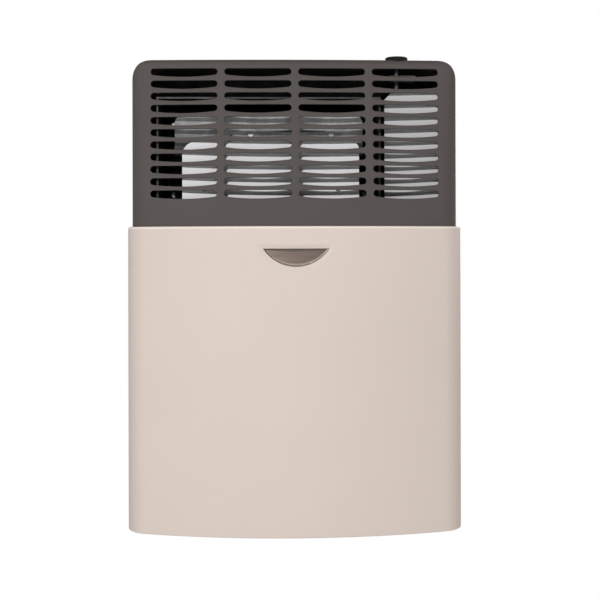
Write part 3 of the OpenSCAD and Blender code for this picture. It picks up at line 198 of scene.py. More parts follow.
def sheet_steel(name, colour, rough, spangle=0.0, bare_edge_and_highlight=(0.45, 0.45, 0.45), metallic=0.7,
                painted_shade=None):
    """Galvanised or aluminised steel: crystal spangles, rolling marks and a cloudy tone. Without a
    shade colour, the sheared edges turn paler: raw steel, and also a painted highlight where they
    catch light. With one, a painted shade turns the sheet nearly black behind a depth and below a
    height."""
    n = Nodes(name)
    cells = n.add("ShaderNodeTexVoronoi", feature="F1")
    cells.inputs["Scale"].default_value = 110.0
    n.link(n.place(), cells.inputs["Vector"])
    cloud = n.ramp(n.noise(14.0, 5.0, 0.6), 0, 1, 0.3, 0.7)
    base = n.mix(cloud, shade(colour, 0.88), shade(colour, 1.12))
    if spangle:
        crystals = n.add("ShaderNodeMix", data_type="RGBA", blend_type="SOFT_LIGHT")
        crystals.inputs[0].default_value = spangle
        n.link(base, crystals.inputs[6])
        n.link(cells.outputs["Color"], crystals.inputs[7])
        grey = n.add("ShaderNodeHueSaturation")
        grey.inputs["Saturation"].default_value = 0.1
        n.link(crystals.outputs[2], grey.inputs["Color"])
        base = grey.outputs["Color"]
    # painted shade: the sheet turns nearly black behind a depth and below a height, where the
    # inside of the hood lies in shade
    if painted_shade:
        split = n.add("ShaderNodeSeparateXYZ")
        n.link(n.place(), split.inputs[0])
        lit_part = n.add("ShaderNodeMath", operation="MULTIPLY")
        n.link(n.ramp(split.outputs["Z"], 0.0, 1.0, *PAINTED_SHADE_HEIGHTS), lit_part.inputs[0])
        n.link(n.ramp(split.outputs["Y"], 1.0, 0.0, *PAINTED_SHADE_DEPTHS), lit_part.inputs[1])
        dark = n.add("ShaderNodeMix", data_type="RGBA")
        n.link(lit_part.outputs[0], dark.inputs[0])
        dark.inputs[6].default_value = (*painted_shade, 1)
        n.link(base, dark.inputs[7])
        base = dark.outputs[2]
    else:
        # the sheared edges turn paler: raw steel, and a painted highlight where the edges catch
        # light
        base = wear_and_highlight(n, base, n.ramp(edge_mask(n, 0.0006), 0.0, 0.8, 0.1, 0.9), bare_edge_and_highlight)
    n.link(base, n.shader.inputs["Base Color"])
    n.set(Metallic=metallic)
    n.link(n.ramp(n.noise(40.0, 5.0, 0.6), rough - 0.08, rough + 0.1), n.shader.inputs["Roughness"])
    n.bump(n.noise(500.0, 3.0, 0.5, (1, 1, 0.08)), 0.06, 0.0003)
    return n.mat


def machined(name, colour, rough, vary=0.08):
    """Turned or drawn metal: fine rings and a little tarnish."""
    n = Nodes(name)
    tarnish = n.ramp(n.noise(70.0, 5.0, 0.65), 0, 1)
    n.link(n.mix(tarnish, shade(colour, 1 - vary), shade(colour, 1 + vary)),
           n.shader.inputs["Base Color"])
    n.set(Metallic=1.0)
    n.link(n.ramp(n.noise(120.0, 4.0), rough - 0.06, rough + 0.08), n.shader.inputs["Roughness"])
    n.bump(n.noise(60.0, 2.0, 0.5, (1, 1, 40)), 0.05, 0.0002)
    return n.mat


def brushed(name, colour, rough, bright):
    """Brushed nickel: fine marks along its length, and edges polished bright."""
    n = Nodes(name)
    marks = n.noise(260.0, 4.0, 0.6, (0.04, 1, 1))
    base = n.mix(n.ramp(marks, 0, 1, 0.3, 0.7), shade(colour, 0.90), shade(colour, 1.10))
    n.link(wear_and_highlight(n, base, n.ramp(edge_mask(n, 0.0008), 0.0, 0.7, 0.15, 0.9), bright),
           n.shader.inputs["Base Color"])
    n.set(Metallic=1.0)
    n.link(n.ramp(marks, rough - 0.05, rough + 0.07), n.shader.inputs["Roughness"])
    n.bump(marks, 0.05, 0.0002)
    return n.mat


def moulded(name, colour, rough, texture=0.12, level=0.5):
    """Moulded plastic or rubber: a fine etched skin."""
    n = Nodes(name)
    n.link(n.mix(n.ramp(n.noise(30.0, 3.0), 0, 1), shade(colour, 0.9), shade(colour, 1.12)),
           n.shader.inputs["Base Color"])
    n.link(n.ramp(n.noise(200.0, 3.0), rough - 0.04, rough + 0.05), n.shader.inputs["Roughness"])
    n.set(IOR=1.5, Specular_IOR_Level=level)
    n.bump(n.noise(1800.0, 2.0), texture, 0.0001)
    return n.mat


def fibre(name, colour):
    """Woven or pressed fibre: a coarse, dull weave."""
    n = Nodes(name)
    n.link(n.mix(n.ramp(n.noise(300.0, 6.0, 0.7), 0, 1), shade(colour, 0.8), shade(colour, 1.1)),
           n.shader.inputs["Base Color"])
    n.set(Roughness=0.95)
    n.bump(n.noise(900.0, 5.0, 0.7, (1, 1, 3)), 0.4, 0.0004)
    return n.mat


def heat_glass(name):
    """Clear glass with a slight green tint and a little haze."""
    n = Nodes(name)
    n.set(IOR=1.47, Transmission_Weight=0.95)
    n.link(n.ramp(n.noise(12.0), 0.02, 0.06), n.shader.inputs["Roughness"])
    n.shader.inputs["Base Color"].default_value = (0.86, 0.93, 0.92, 1)
    return n.mat


MATERIALS = {
    "hood_paint": painted("hood_paint", (0.104, 0.091, 0.087), 0.55, texture=0.05, vary=0.02,
                          level=0.02),
    # the panel's paler top edge is a painted highlight
    "panel_paint": painted("panel_paint", (0.710, 0.610, 0.550), 0.50, texture=0.04, vary=0.01,
                           level=0.15, painted_highlight=(0.93, 0.82, 0.75)),
    "badge_nickel": brushed("badge_nickel", (0.088, 0.069, 0.059), 0.36, (0.30, 0.27, 0.23)),
    "spring_steel": machined("spring_steel", (0.34, 0.35, 0.36), 0.3),
    "knob_plastic": moulded("knob_plastic", (0.010, 0.010, 0.009), 0.6, level=0.08),
    # darkened to the shade inside the hood: painted shade
    "plated_steel": machined("plated_steel", (0.06, 0.06, 0.062), 0.34),
    "brass": machined("brass", (0.50, 0.35, 0.14), 0.32),
    # darkened to the shade inside the hood: painted shade
    "galvanised_steel": sheet_steel("galvanised_steel", (0.035, 0.035, 0.035), 0.50, spangle=0.4,
                                    bare_edge_and_highlight=(0.20, 0.20, 0.20)),
    "black_screws": painted("black_screws", (0.03, 0.03, 0.03), 0.4),
    "white_paint": painted("white_paint", (0.72, 0.71, 0.72), 0.5, texture=0.05, vary=0.02,
                           level=0.05),
    "gasket_fibre": fibre("gasket_fibre", (0.62, 0.60, 0.54)),
    # darkened to the shade inside the hood: painted shade
    "aluminised_steel": sheet_steel("aluminised_steel", (0.060, 0.058, 0.058), 0.46, spangle=0.2),
    "heat_glass": heat_glass("heat_glass"),
    "burner_steel": sheet_steel("burner_steel", (0.08, 0.075, 0.07), 0.5),
    "copper": machined("copper", (0.50, 0.25, 0.14), 0.3),
    "white_ceramic": moulded("white_ceramic", (0.78, 0.76, 0.71), 0.5, 0.05),
    "cable_rubber": moulded("cable_rubber", (0.45, 0.43, 0.38), 0.55),
    "black_plastic": moulded("black_plastic", (0.02, 0.02, 0.021), 0.4),
    "valve_alloy": machined("valve_alloy", (0.36, 0.37, 0.38), 0.5, vary=0.05),
}

# nodes that look otherwise than their slot's material; most are darker or lighter copies that paint
# the light and shade inside the hood
# the back plate, hooks and rod guide darker still: painted shade
SHADED_PLATE = sheet_steel("galvanised_shaded", (0.022, 0.022, 0.022), 0.6, spangle=0.4,
                         bare_edge_and_highlight=(0.30, 0.30, 0.30))
# a lighter copy of plated steel for the shield's screws: painted highlight
LIT_SCREWS = machined("lit_screws", (0.12, 0.12, 0.125), 0.3)
# the white paint greyed for the valve shield: painted shade
SHADED_WHITE = painted("shaded_white_paint", (0.55, 0.54, 0.545), 0.5, texture=0.04, vary=0.02,
                     level=0.05)
# the duct darkened: painted shade
DUCT = sheet_steel("duct_steel", (0.030, 0.030, 0.030), 0.6, spangle=0.4, bare_edge_and_highlight=(0.10, 0.10, 0.10))
# the rod darkened: painted shade
DARK_ROD = machined("dark_rod", (0.035, 0.035, 0.035), 0.45)
# the chamber and hanger steel, with its painted shade deep inside and low down
CHAMBER = sheet_steel("chamber_steel", (0.31, 0.305, 0.30), 0.78, spangle=0.25, metallic=1.0,
                      painted_shade=(0.004, 0.004, 0.004))
SPECIAL = {"back_plate": SHADED_PLATE, "hanging_hooks": SHADED_PLATE, "rod_guide": SHADED_PLATE,
           "shield_screws": LIT_SCREWS, "chamber_front": CHAMBER, "shield_hanger": CHAMBER,
           "knob_rod": DARK_ROD, "valve_shield": SHADED_WHITE, "convection_duct": DUCT}


# ---- shading and looks of the CAD nodes ----

def smooth_group():
    """A node group that shades a mesh smooth except across sharp edges."""
    group = bpy.data.node_groups.new("smooth_by_angle", "GeometryNodeTree")
    group.interface.new_socket("Geometry", in_out="INPUT", socket_type="NodeSocketGeometry")
    group.interface.new_socket("Geometry", in_out="OUTPUT", socket_type="NodeSocketGeometry")
    start = group.nodes.new("NodeGroupInput")
    end = group.nodes.new("NodeGroupOutput")
    angle = group.nodes.new("GeometryNodeInputMeshEdgeAngle")
    sharp = group.nodes.new("FunctionNodeCompare")
    sharp.operation = "LESS_EQUAL"
    sharp.inputs[1].default_value = math.radians(28)
    edges = group.nodes.new("GeometryNodeSetShadeSmooth")
    edges.domain = "EDGE"
    faces = group.nodes.new("GeometryNodeSetShadeSmooth")
    faces.domain = "FACE"
    group.links.new(angle.outputs[0], sharp.inputs[0])
    group.links.new(start.outputs[0], faces.inputs[0])
    group.links.new(faces.outputs[0], edges.inputs[0])
    group.links.new(sharp.outputs[0], edges.inputs["Shade Smooth"])
    group.links.new(edges.outputs[0], end.inputs[0])
    return group


def dress(obj, group):
    obj.modifiers.new("smooth", "NODES").node_group = group


def slot_of(node):
    return next(part["material_slot"] for part in frame["record"]["subparts"]
                if part["node"] == node)


def look_of(node):
    return SPECIAL.get(node) or MATERIALS[slot_of(node)]


def assign_materials():
    for part in frame["record"]["subparts"]:
        obj = NODES[part["node"]]
        obj.data.materials.clear()
        obj.data.materials.append(look_of(part["node"]))


# ---- shapes, in millimetres, with heights from the cabinet's bottom edge ----

FIX_MID = 330.0
CAB_W, CAB_H, CAB_D = 445.0, 624.0, 195.0
BOW_R, CORNER_R, PANEL_H = 670.0, 36.0, 402.0
INSET, SIDE_INSET, WALL_GAP, SHEET = 5.0, 6.0, 1.0, 1.0
HOOD_W, HOOD_D, HOOD_TOP_D = CAB_W - 2 * SIDE_INSET, CAB_D - INSET, CAB_D - INSET - 38.0
TOP_BOW_R, TOP_CORNER_R = 3400.0, 14.0
EDGE_R, TURN_R = 8.0, 25.0
HOOD_LOW, LEAN_LOW = PANEL_H - 25.0, PANEL_H + 4.0
KNOB_R, KNOB_H = 15.0, 15.0
KNOB_X, KNOB_Y = (1000 * v for v in frame["record"]["behaviour"]["joints"][0]["pos_m"][:2])
KNOB_TOP = CAB_H + 5.0
BADGE_W, BADGE_H, BADGE_PINS = 85.0, 23.0, 44.0
BADGE_TOP = PANEL_H - 29.0
BADGE_MID = BADGE_TOP - BADGE_H * 0.4
BADGE_R = ((BADGE_W / 2) ** 2 + BADGE_H ** 2) / (2 * BADGE_H)
BADGE_CZ = BADGE_TOP - BADGE_H + BADGE_R
BADGE_DIP = 0.75                            # how deep the panel is pressed in behind the badge
SCREW_Y, HOOD_SCREW_Z, PANEL_SCREW_Z = 14.0, CAB_H - 131.0, (70.0, PANEL_H - 78.0)
SCREW_HOLE_R, PIN_HOLE_R = 2.0, 1.6
STATION = 200.0                             # millimetres that one unit of a front station is worth


def world_point(p):
    return (p[0] * MM, p[1] * MM, (p[2] - FIX_MID) * MM)


class Bow:
    """A bowed outline seen from above: a wide front arc, two corner arcs, straight sides."""

    def __init__(self, w, d, r, rc):
        self.w, self.r, self.rc = w, r, rc
        self.cx = w / 2 - rc
        self.half = math.asin(self.cx / (r - rc))
        self.oy = r - d
        self.cy = self.oy - math.sqrt((r - rc) ** 2 - self.cx ** 2)

    def at(self, part, k):
        """part 'side', k 0..1 from the wall; 'corner', k 0..1 from the side; 'front', k -1..1.
        Sides and corners are those at +x."""
        if part == "front":
            a = k * self.half
            return self.r * math.sin(a), self.oy - self.r * math.cos(a)
        if part == "side":
            return self.w / 2, -WALL_GAP + (self.cy + WALL_GAP) * k
        a = math.pi / 2 - (math.pi / 2 - self.half) * k
        return self.cx + self.rc * math.sin(a), self.cy - self.rc * math.cos(a)


def columns(sides, corners, fronts):
    """Stations along a bow from its left rear end to its right rear end."""
    left = [("side", k / sides, -1) for k in range(sides)]
    left += [("corner", k / corners, -1) for k in range(corners)]
    right = [(part, k, 1) for part, k, _ in reversed(left)]
    return left + [("front", f, 1) for f in fronts] + right


def on_bow(bow, col):
    x, y = bow.at(col[0], col[1])
    return (x * col[2], y) if col[0] != "front" else (x, y)


LOW = Bow(HOOD_W, HOOD_D, BOW_R - INSET, CORNER_R - INSET)
HIGH = Bow(HOOD_W, HOOD_TOP_D, TOP_BOW_R, TOP_CORNER_R)
RING = Bow(HOOD_W - 2 * TURN_R, HOOD_TOP_D - EDGE_R, TOP_BOW_R - EDGE_R, TOP_CORNER_R - EDGE_R)


def hood_wall(col, z):
    a, b = on_bow(LOW, col), on_bow(HIGH, col)
    t = max(0.0, z - LEAN_LOW) / (CAB_H - LEAN_LOW)
    return (a[0] + (b[0] - a[0]) * t, a[1] + (b[1] - a[1]) * t, z)


def hood_turn(col):
    f = {"front": 0.0, "corner": 1 - col[1], "side": 1.0}[col[0]]
    return EDGE_R + (TURN_R - EDGE_R) * f * f * (3 - 2 * f)


def hood_top(col, a):
    """A point of the turn into the top, at the angle a from the wall."""
    turn = hood_turn(col)
    z = CAB_H - turn * (1 - math.sin(a))
    p, q, m = hood_wall(col, z), on_bow(RING, col), 1 - math.cos(a)
    return (p[0] + (q[0] - p[0]) * m, p[1] + (q[1] - p[1]) * m, z)


def front_at(x, z):
    """The station of the hood's front arc that lies at x at the height z."""
    f = x / STATION
    for _ in range(4):
        f -= (hood_wall(("front", f, 1), z)[0] - x) / STATION
    return f


SLOT_L, SLOT_END, SLOT_MID, SLOT_TOP = 88.5, 9.0, 11.4, 12.5


def slot_outline(grow):
    """Front view of one slot, grown by a margin: straight top, round ends, bellied foot."""
    e, b, belly = SLOT_END / 2, (SLOT_L - SLOT_END) / 2, SLOT_MID - SLOT_END
    long_n, end_n = 16, 10
    pts = []

    def end(side, start):
        for i in range(end_n + 1):
            a = start + math.pi * i / end_n
            pts.append((side * b + e * math.cos(a), -e + e * math.sin(a), math.cos(a), math.sin(a)))

    end(-1, math.pi / 2)
    for i in range(1, long_n):
        x = -b + 2 * b * i / long_n
        nx, nz = 2 * belly * x / b ** 2, -1.0
        size = math.hypot(nx, nz)
        pts.append((x, -SLOT_END - belly * (1 - (x / b) ** 2), nx / size, nz / size))
    end(1, -math.pi / 2)
    for i in range(1, long_n):
        pts.append((b - 2 * b * i / long_n, 0.0, 0.0, 1.0))
    return [(x + grow * nx, z + grow * nz) for x, z, nx, nz in pts]


SLOT_PITCH_X, SLOT_PITCH_Z = 97.5, 16.2
SLOTS = [((c - 1.5) * SLOT_PITCH_X, CAB_H - SLOT_TOP - k * SLOT_PITCH_Z)
         for c in range(4) for k in range(11)]
RIM, TURNED_IN, TURN_T = 0.4, 2.6, 0.8      # the slots' edges are turned inwards


def near_slot(x, z, m):
    """Whether a point of the front view lies in a slot's box grown by the margin m."""
    return any(abs(x - sx) < SLOT_L / 2 + m and sz - SLOT_MID - m < z < sz + m
               for sx, sz in SLOTS)


def in_slot(u, z):
    """Whether a point of the flattened front lies inside a slot's rim."""
    x = hood_wall(("front", u / STATION, 1), z)[0]
    e, c = SLOT_END / 2, (SLOT_L - SLOT_END) / 2
    for sx, sz in SLOTS:
        a, b = x - sx, z - sz
        if abs(a) > SLOT_L / 2 + RIM or b > RIM or b < -SLOT_MID - RIM:
            continue
        if abs(a) <= c:
            if b > -SLOT_END - (SLOT_MID - SLOT_END) * (1 - (a / c) ** 2) - RIM:
                return True
        elif math.hypot(abs(a) - c, b + e) < e + RIM:
            return True
    return False


def hood_mesh():
    """The hood's outer skin, a loop of points with its place for every slot, and the outline
    of a slot inside its rim."""
    fronts = [i / 24 for i in range(-24, 25)]
    cols = columns(8, 14, fronts)
    n = len(cols)
    first, last = cols.index(("front", -1.0, 1)), cols.index(("front", 1.0, 1))
    verts, faces, loops = [], [], []
    lean_rows, turn_rows = 26, 10

    def levels(col):
        top = CAB_H - hood_turn(col)
        return [HOOD_LOW, (HOOD_LOW + LEAN_LOW) / 2, LEAN_LOW] + [
            LEAN_LOW + (top - LEAN_LOW) * k / lean_rows for k in range(1, lean_rows + 1)]

    rows = len(levels(cols[0]))
    grid = {}
    for i, col in enumerate(cols):
        pierced = first < i < last
        for k, z in enumerate(levels(col)):
            if pierced and 0 < k < rows - 1:
                continue
            grid[i, k] = len(verts)
            verts.append(hood_wall(col, z))
    for i in list(range(first)) + list(range(last, n - 1)):
        for k in range(rows - 1):
            faces.append((grid[i, k], grid[i + 1, k], grid[i + 1, k + 1], grid[i, k + 1]))

    # the front, pierced by the slots
    flat, back = [], []

    def plane(f, z, index):
        flat.append(Vector((f * STATION, z)))
        back.append(index)
        return len(flat) - 1

    border = [(i, 0) for i in range(first, last + 1)] + [(last, k) for k in range(1, rows)]
    border += [(i, rows - 1) for i in range(last - 1, first - 1, -1)]
    border += [(first, k) for k in range(rows - 2, 0, -1)]
    ring = [plane(cols[i][1], levels(cols[i])[k], grid[i, k]) for i, k in border]
    edges = list(zip(ring, ring[1:] + ring[:1]))
    shape, core = slot_outline(RIM), slot_outline(0.0)
    for sx, sz in SLOTS:
        loop = []
        for x, z in shape:
            f = front_at(sx + x, sz + z)
            verts.append(hood_wall(("front", f, 1), sz + z))
            loop.append(plane(f, sz + z, len(verts) - 1))
        edges += list(zip(loop, loop[1:] + loop[:1]))
        loops.append(([back[v] for v in loop], (sx, sz)))

    across, up = 48, 58
    for i in range(1 - across, across):
        for k in range(1, up):
            f, z = i / across, HOOD_LOW + (CAB_H - EDGE_R - HOOD_LOW) * k / up
            x = hood_wall(("front", f, 1), z)[0]
            if not near_slot(x, z, 1.6):
                verts.append(hood_wall(("front", f, 1), z))
                plane(f, z, len(verts) - 1)
    out = delaunay_2d_cdt(flat, edges, [], 0, 1e-6, True)
    place, origin = out[0], [back[ids[0]] for ids in out[3]]
    for tri in out[2]:
        c = sum((place[v] for v in tri), Vector((0, 0))) / len(tri)
        if not in_slot(c.x, c.y):
            faces.append(tuple(origin[v] for v in tri))

    # the turn into the top, and the top
    before = [grid[i, rows - 1] for i in range(n)]
    for k in range(1, turn_rows + 1):
        ring = []
        for col in cols:
            ring.append(len(verts))
            verts.append(hood_top(col, math.pi / 2 * k / turn_rows))
        for i in range(n - 1):
            faces.append((before[i], before[i + 1], ring[i + 1], ring[i]))
        before = ring
    half = n // 2
    for i in range(half):
        a, b, c, d = before[i], before[i + 1], before[n - 2 - i], before[n - 1 - i]
        faces.append((a, b, c, d) if b != c else (a, b, d))
    return verts, faces, loops, core


# ---- meshes built from those shapes ----

def new_object(name, verts, faces, body, node, smooth=35):
    """A closed mesh, given in millimetres, that stands for one CAD node."""
    mesh = bpy.data.meshes.new(name)
    mesh.from_pydata([world_point(p) for p in verts], [], faces)
    bm = bmesh.new()
    bm.from_mesh(mesh)
    bmesh.ops.recalc_face_normals(bm, faces=bm.faces)
    bm.to_mesh(mesh)
    bm.free()
    mesh.materials.append(look_of(node))
    mesh.shade_smooth()
    mesh.set_sharp_from_angle(angle=math.radians(smooth))
    obj = bpy.data.objects.new(name, mesh)
    bpy.context.scene.collection.objects.link(obj)
    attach(obj, body)
    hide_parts(node)
    return obj


def vertex_normals(verts, faces):
    sums = [Vector((0, 0, 0)) for _ in verts]
    for face in faces:
        o = Vector(verts[face[0]])
        for j in range(1, len(face) - 1):
            c = (Vector(verts[face[j]]) - o).cross(Vector(verts[face[j + 1]]) - o)
            for v in (face[0], face[j], face[j + 1]):
                sums[v] += c
    return [s.normalized() for s in sums]


def join_rings(faces, a, b):
    for j in range(len(a)):
        k = (j + 1) % len(a)
        faces.append((a[j], a[k], b[k], b[j]))


def drill(obj, holes):
    """Cuts round holes (centre, axis, radius, length) in millimetres, and keeps the cut mesh."""
    bm = bmesh.new()
    for centre, axis, radius, length in holes:
        turn = Vector((0, 0, 1)).rotation_difference(Vector(axis)).to_matrix().to_4x4()
        bmesh.ops.create_cone(bm, cap_ends=True, segments=64, radius1=radius * MM,
                              radius2=radius * MM, depth=length * MM,
                              matrix=Matrix.Translation(world_point(centre)) @ turn)
    mesh = bpy.data.meshes.new("drill")
    bm.to_mesh(mesh)
    bm.free()
    cutter = bpy.data.objects.new("drill", mesh)
    bpy.context.scene.collection.objects.link(cutter)
    mod = obj.modifiers.new("holes", "BOOLEAN")
    mod.operation = "DIFFERENCE"
    mod.solver = "EXACT"
    mod.object = cutter
    bpy.context.view_layer.update()
    graph = bpy.context.evaluated_depsgraph_get()
    obj.data = bpy.data.meshes.new_from_object(obj.evaluated_get(graph))
    obj.modifiers.clear()
    obj.data.set_sharp_from_angle(angle=math.radians(35))
    bpy.data.objects.remove(cutter)


def thick_hood():
    """The hood's outer skin, the skin inside it, the slots' rounded rims and the free edges."""
    verts, faces, loops, core = hood_mesh()
    middle = Vector((0, -60, 450))
    for k, face in enumerate(faces):
        a, b, c = (Vector(verts[v]) for v in face[:3])
        if (b - a).cross(c - a).dot(a - middle) < 0:
            faces[k] = tuple(reversed(face))
    n = len(verts)
    normals = vertex_normals(verts, faces)
    inner = [Vector(p) - normals[i] * SHEET for i, p in enumerate(verts)]
    extra, skins, rims = [], list(faces), set()
    skins += [tuple(n + v for v in reversed(face)) for face in faces]

    def sunk(sx, sz, x, z, v, depth):
        f = front_at(sx + x, sz + z)
        return Vector(hood_wall(("front", f, 1), sz + z)) - normals[v] * depth

    for loop, (sx, sz) in loops:
        rings = [loop]
        for grow, depth in ((RIM * 0.29, RIM * 0.29), (0.0, RIM)):
            ring = []
            for (x, z), v in zip(slot_outline(grow), loop):
                ring.append(2 * n + len(extra))
                extra.append(sunk(sx, sz, x, z, v, depth))
            rings.append(ring)
        wide = slot_outline(TURN_T)
        for shape, depth in ((core, TURNED_IN), (wide, TURNED_IN)):
            rings.append(list(range(2 * n + len(extra), 2 * n + len(extra) + len(loop))))
            extra += [sunk(sx, sz, x, z, v, depth) for (x, z), v in zip(shape, loop)]
        for (x, z), v in zip(wide, loop):
            inner[v] = sunk(sx, sz, x, z, v, SHEET)
        rings.append([n + v for v in loop])
        for p, q in zip(rings, rings[1:]):
            join_rings(skins, p, q)
        rims.update(loop)
    sides = {(a, b) for face in faces for a, b in zip(face, face[1:] + face[:1])}
    for a, b in sides:
        if (b, a) not in sides and not (a in rims and b in rims):
            skins.append((b, a, n + a, n + b))
    return [Vector(p) for p in verts] + inner + extra, skins


def hood():
    verts, faces = thick_hood()
    obj = new_object("hood_sheet", verts, faces, "cabinet", "grille_hood")
    drill(obj, [((KNOB_X, KNOB_Y, CAB_H - 3), (0, 0, 1), KNOB_R + 1, 12)]
          + [((s * HOOD_W / 2, -SCREW_Y, HOOD_SCREW_Z), (1, 0, 0), SCREW_HOLE_R, 4)
             for s in (1, -1)])


def badge_distance(x, z):
    """How far a point lies outside the badge's outline, seen from the front."""
    return max(math.hypot(x, z - BADGE_CZ) - BADGE_R, z - BADGE_TOP)


def seat_dip(x, z):
    """The panel's shallow pressed dip around the badge, widest beside its arched foot."""
    margin, slope = 3.0, 2.2
    if abs(x) > 62 or z > BADGE_TOP + 14 or z < BADGE_TOP - BADGE_H - 14:
        return 0.0
    side = min(1.0, abs(x) / 26.0)
    k = min(1.0, max(0.0, (margin + 2.2 * side - badge_distance(x, z)) / slope))
    return BADGE_DIP * k * k * (3 - 2 * k)


def panel():
    """The front panel, swept along the bow: a rounded top edge and foot, both with their lips,
    and the dip around the badge."""
    def arc(m, z, r, a0, a1, n):
        turns = [math.radians(a0 + (a1 - a0) * k / n) for k in range(n + 1)]
        return [(m - r * math.cos(a), z + r * math.sin(a)) for a in turns]

    lip, foot_r, top_r = 10.0, 2.0, 2.2
    zs = [20 + 20 * k for k in range(15)] + [320 + 1.6 * k for k in range(46)] + [396]
    outer = [(lip, 0.0), (lip - 4.0, 0.0)] + arc(foot_r, foot_r, foot_r, -90, 0, 6)
    outer += [(0.0, z) for z in zs] + arc(top_r, PANEL_H - top_r, top_r, 0, 90, 7)
    outer.append((INSET - 0.3, PANEL_H))
    inner = []
    for i, (m, z) in enumerate(outer):
        a, b = outer[max(i - 1, 0)], outer[min(i + 1, len(outer) - 1)]
        t = Vector((b[0] - a[0], b[1] - a[1])).normalized()
        inner.append((m + t.y * SHEET, z - t.x * SHEET))
    fine = [-0.25 + 0.5 * k / 84 for k in range(85)]        # across the badge's dip
    coarse = [k / 20 for k in range(-20, -5)]
    cols = columns(6, 16, coarse + fine + [-f for f in reversed(coarse)])
    bows = {}

    def point(col, m, z):
        bow = bows.setdefault(m, Bow(CAB_W - 2 * m, CAB_D - m, BOW_R - m, CORNER_R - m))
        x, y = on_bow(bow, col)
        return x, y + (seat_dip(x, z) if col[0] == "front" else 0.0), z

    verts = [point(col, m, z) for profile in (outer, inner) for col in cols for m, z in profile]
    na, nc = len(outer), len(cols)
    half, faces = na * nc, []
    for o in (0, half):
        for j in range(nc - 1):
            for i in range(na - 1):
                a = o + j * na + i
                faces.append((a, a + na, a + na + 1, a + 1))
    for j in range(nc - 1):
        for i in (0, na - 1):
            a = j * na + i
            faces.append((a, a + na, half + a + na, half + a))
    for j in (0, nc - 1):
        for i in range(na - 1):
            a = j * na + i
            faces.append((a, a + 1, half + a + 1, half + a))
    obj = new_object("panel_sheet", verts, faces, "cabinet", "front_panel")
    drill(obj, [((s * CAB_W / 2, -SCREW_Y, z), (1, 0, 0), SCREW_HOLE_R, 4)
                for s in (-1, 1) for z in PANEL_SCREW_Z]
          + [((s * BADGE_PINS / 2, -CAB_D, BADGE_MID), (0, 1, 0), PIN_HOLE_R, 12)
             for s in (-1, 1)])


def badge():
    """A bowed plate with a rounded raised rim, on two pins."""
    n, pin_r, pin_n = 64, 1.5, 24

    def outline(m):
        top = BADGE_TOP - m
        r = BADGE_R - m
        end = math.sqrt(r * r - (top - BADGE_CZ) ** 2)
        xs = [end * math.sin(math.pi * (k / n - 0.5)) for k in range(n + 1)]
        low = [(x, BADGE_CZ - math.sqrt(r * r - x * x)) for x in xs]
        return [(x, top) for x in xs], low

    def out(x, z, h):
        """A point at the height h over the panel's bow, or in the bottom of its dip."""
        y = -(CAB_D - (BOW_R - math.sqrt(BOW_R ** 2 - x * x))) - h + (BADGE_DIP if h < 0.2 else 0.0)
        return x, y, z

    verts, faces, rings = [], [], []
    # insets from the outline and heights, from the back's edge over the rim to the face
    profile = [(0.3, 0.0), (0.0, 0.0), (0.0, 1.2), (0.12, 1.55), (0.35, 1.85), (0.7, 1.98),
               (1.0, 1.92), (1.25, 1.7), (1.45, 1.42), (1.8, 1.35)]
    for m, h in profile:
        top, low = outline(m)
        loop = top + list(reversed(low[1:-1]))
        rings.append([len(verts) + k for k in range(len(loop))])
        verts += [out(x, z, h) for x, z in loop]
    for a, b in zip(rings, rings[1:]):
        join_rings(faces, a, b)
    rows = 6
    for ring, (m, h) in ((rings[-1], profile[-1]), (rings[0], profile[0])):
        top, low = outline(m)
        grid = {}
        for k in range(1, n):
            grid[k, 0], grid[k, rows] = ring[k], ring[2 * n - k]
            for r in range(1, rows):
                t = r / rows
                grid[k, r] = len(verts)
                verts.append(out(top[k][0], top[k][1] + (low[k][1] - top[k][1]) * t, h))
        for k in range(1, n - 1):
            for r in range(rows):
                faces.append((grid[k, r], grid[k + 1, r], grid[k + 1, r + 1], grid[k, r + 1]))
        for r in range(rows):
            faces.append((ring[0], grid[1, r], grid[1, r + 1]))
            faces.append((ring[n], grid[n - 1, r], grid[n - 1, r + 1]))
    for s in (-1, 1):
        base = len(verts)
        for y in (-CAB_D + 5.0, -CAB_D + 0.4):
            for k in range(pin_n):
                a = 2 * math.pi * k / pin_n
                verts.append((s * BADGE_PINS / 2 + pin_r * math.cos(a), y,
                              BADGE_MID + pin_r * math.sin(a)))
        ends = [range(base, base + pin_n), range(base + pin_n, base + 2 * pin_n)]
        join_rings(faces, *ends)
        faces += [tuple(end) for end in ends]
    new_object("badge_plate", verts, faces, "cabinet", "badge", 30)


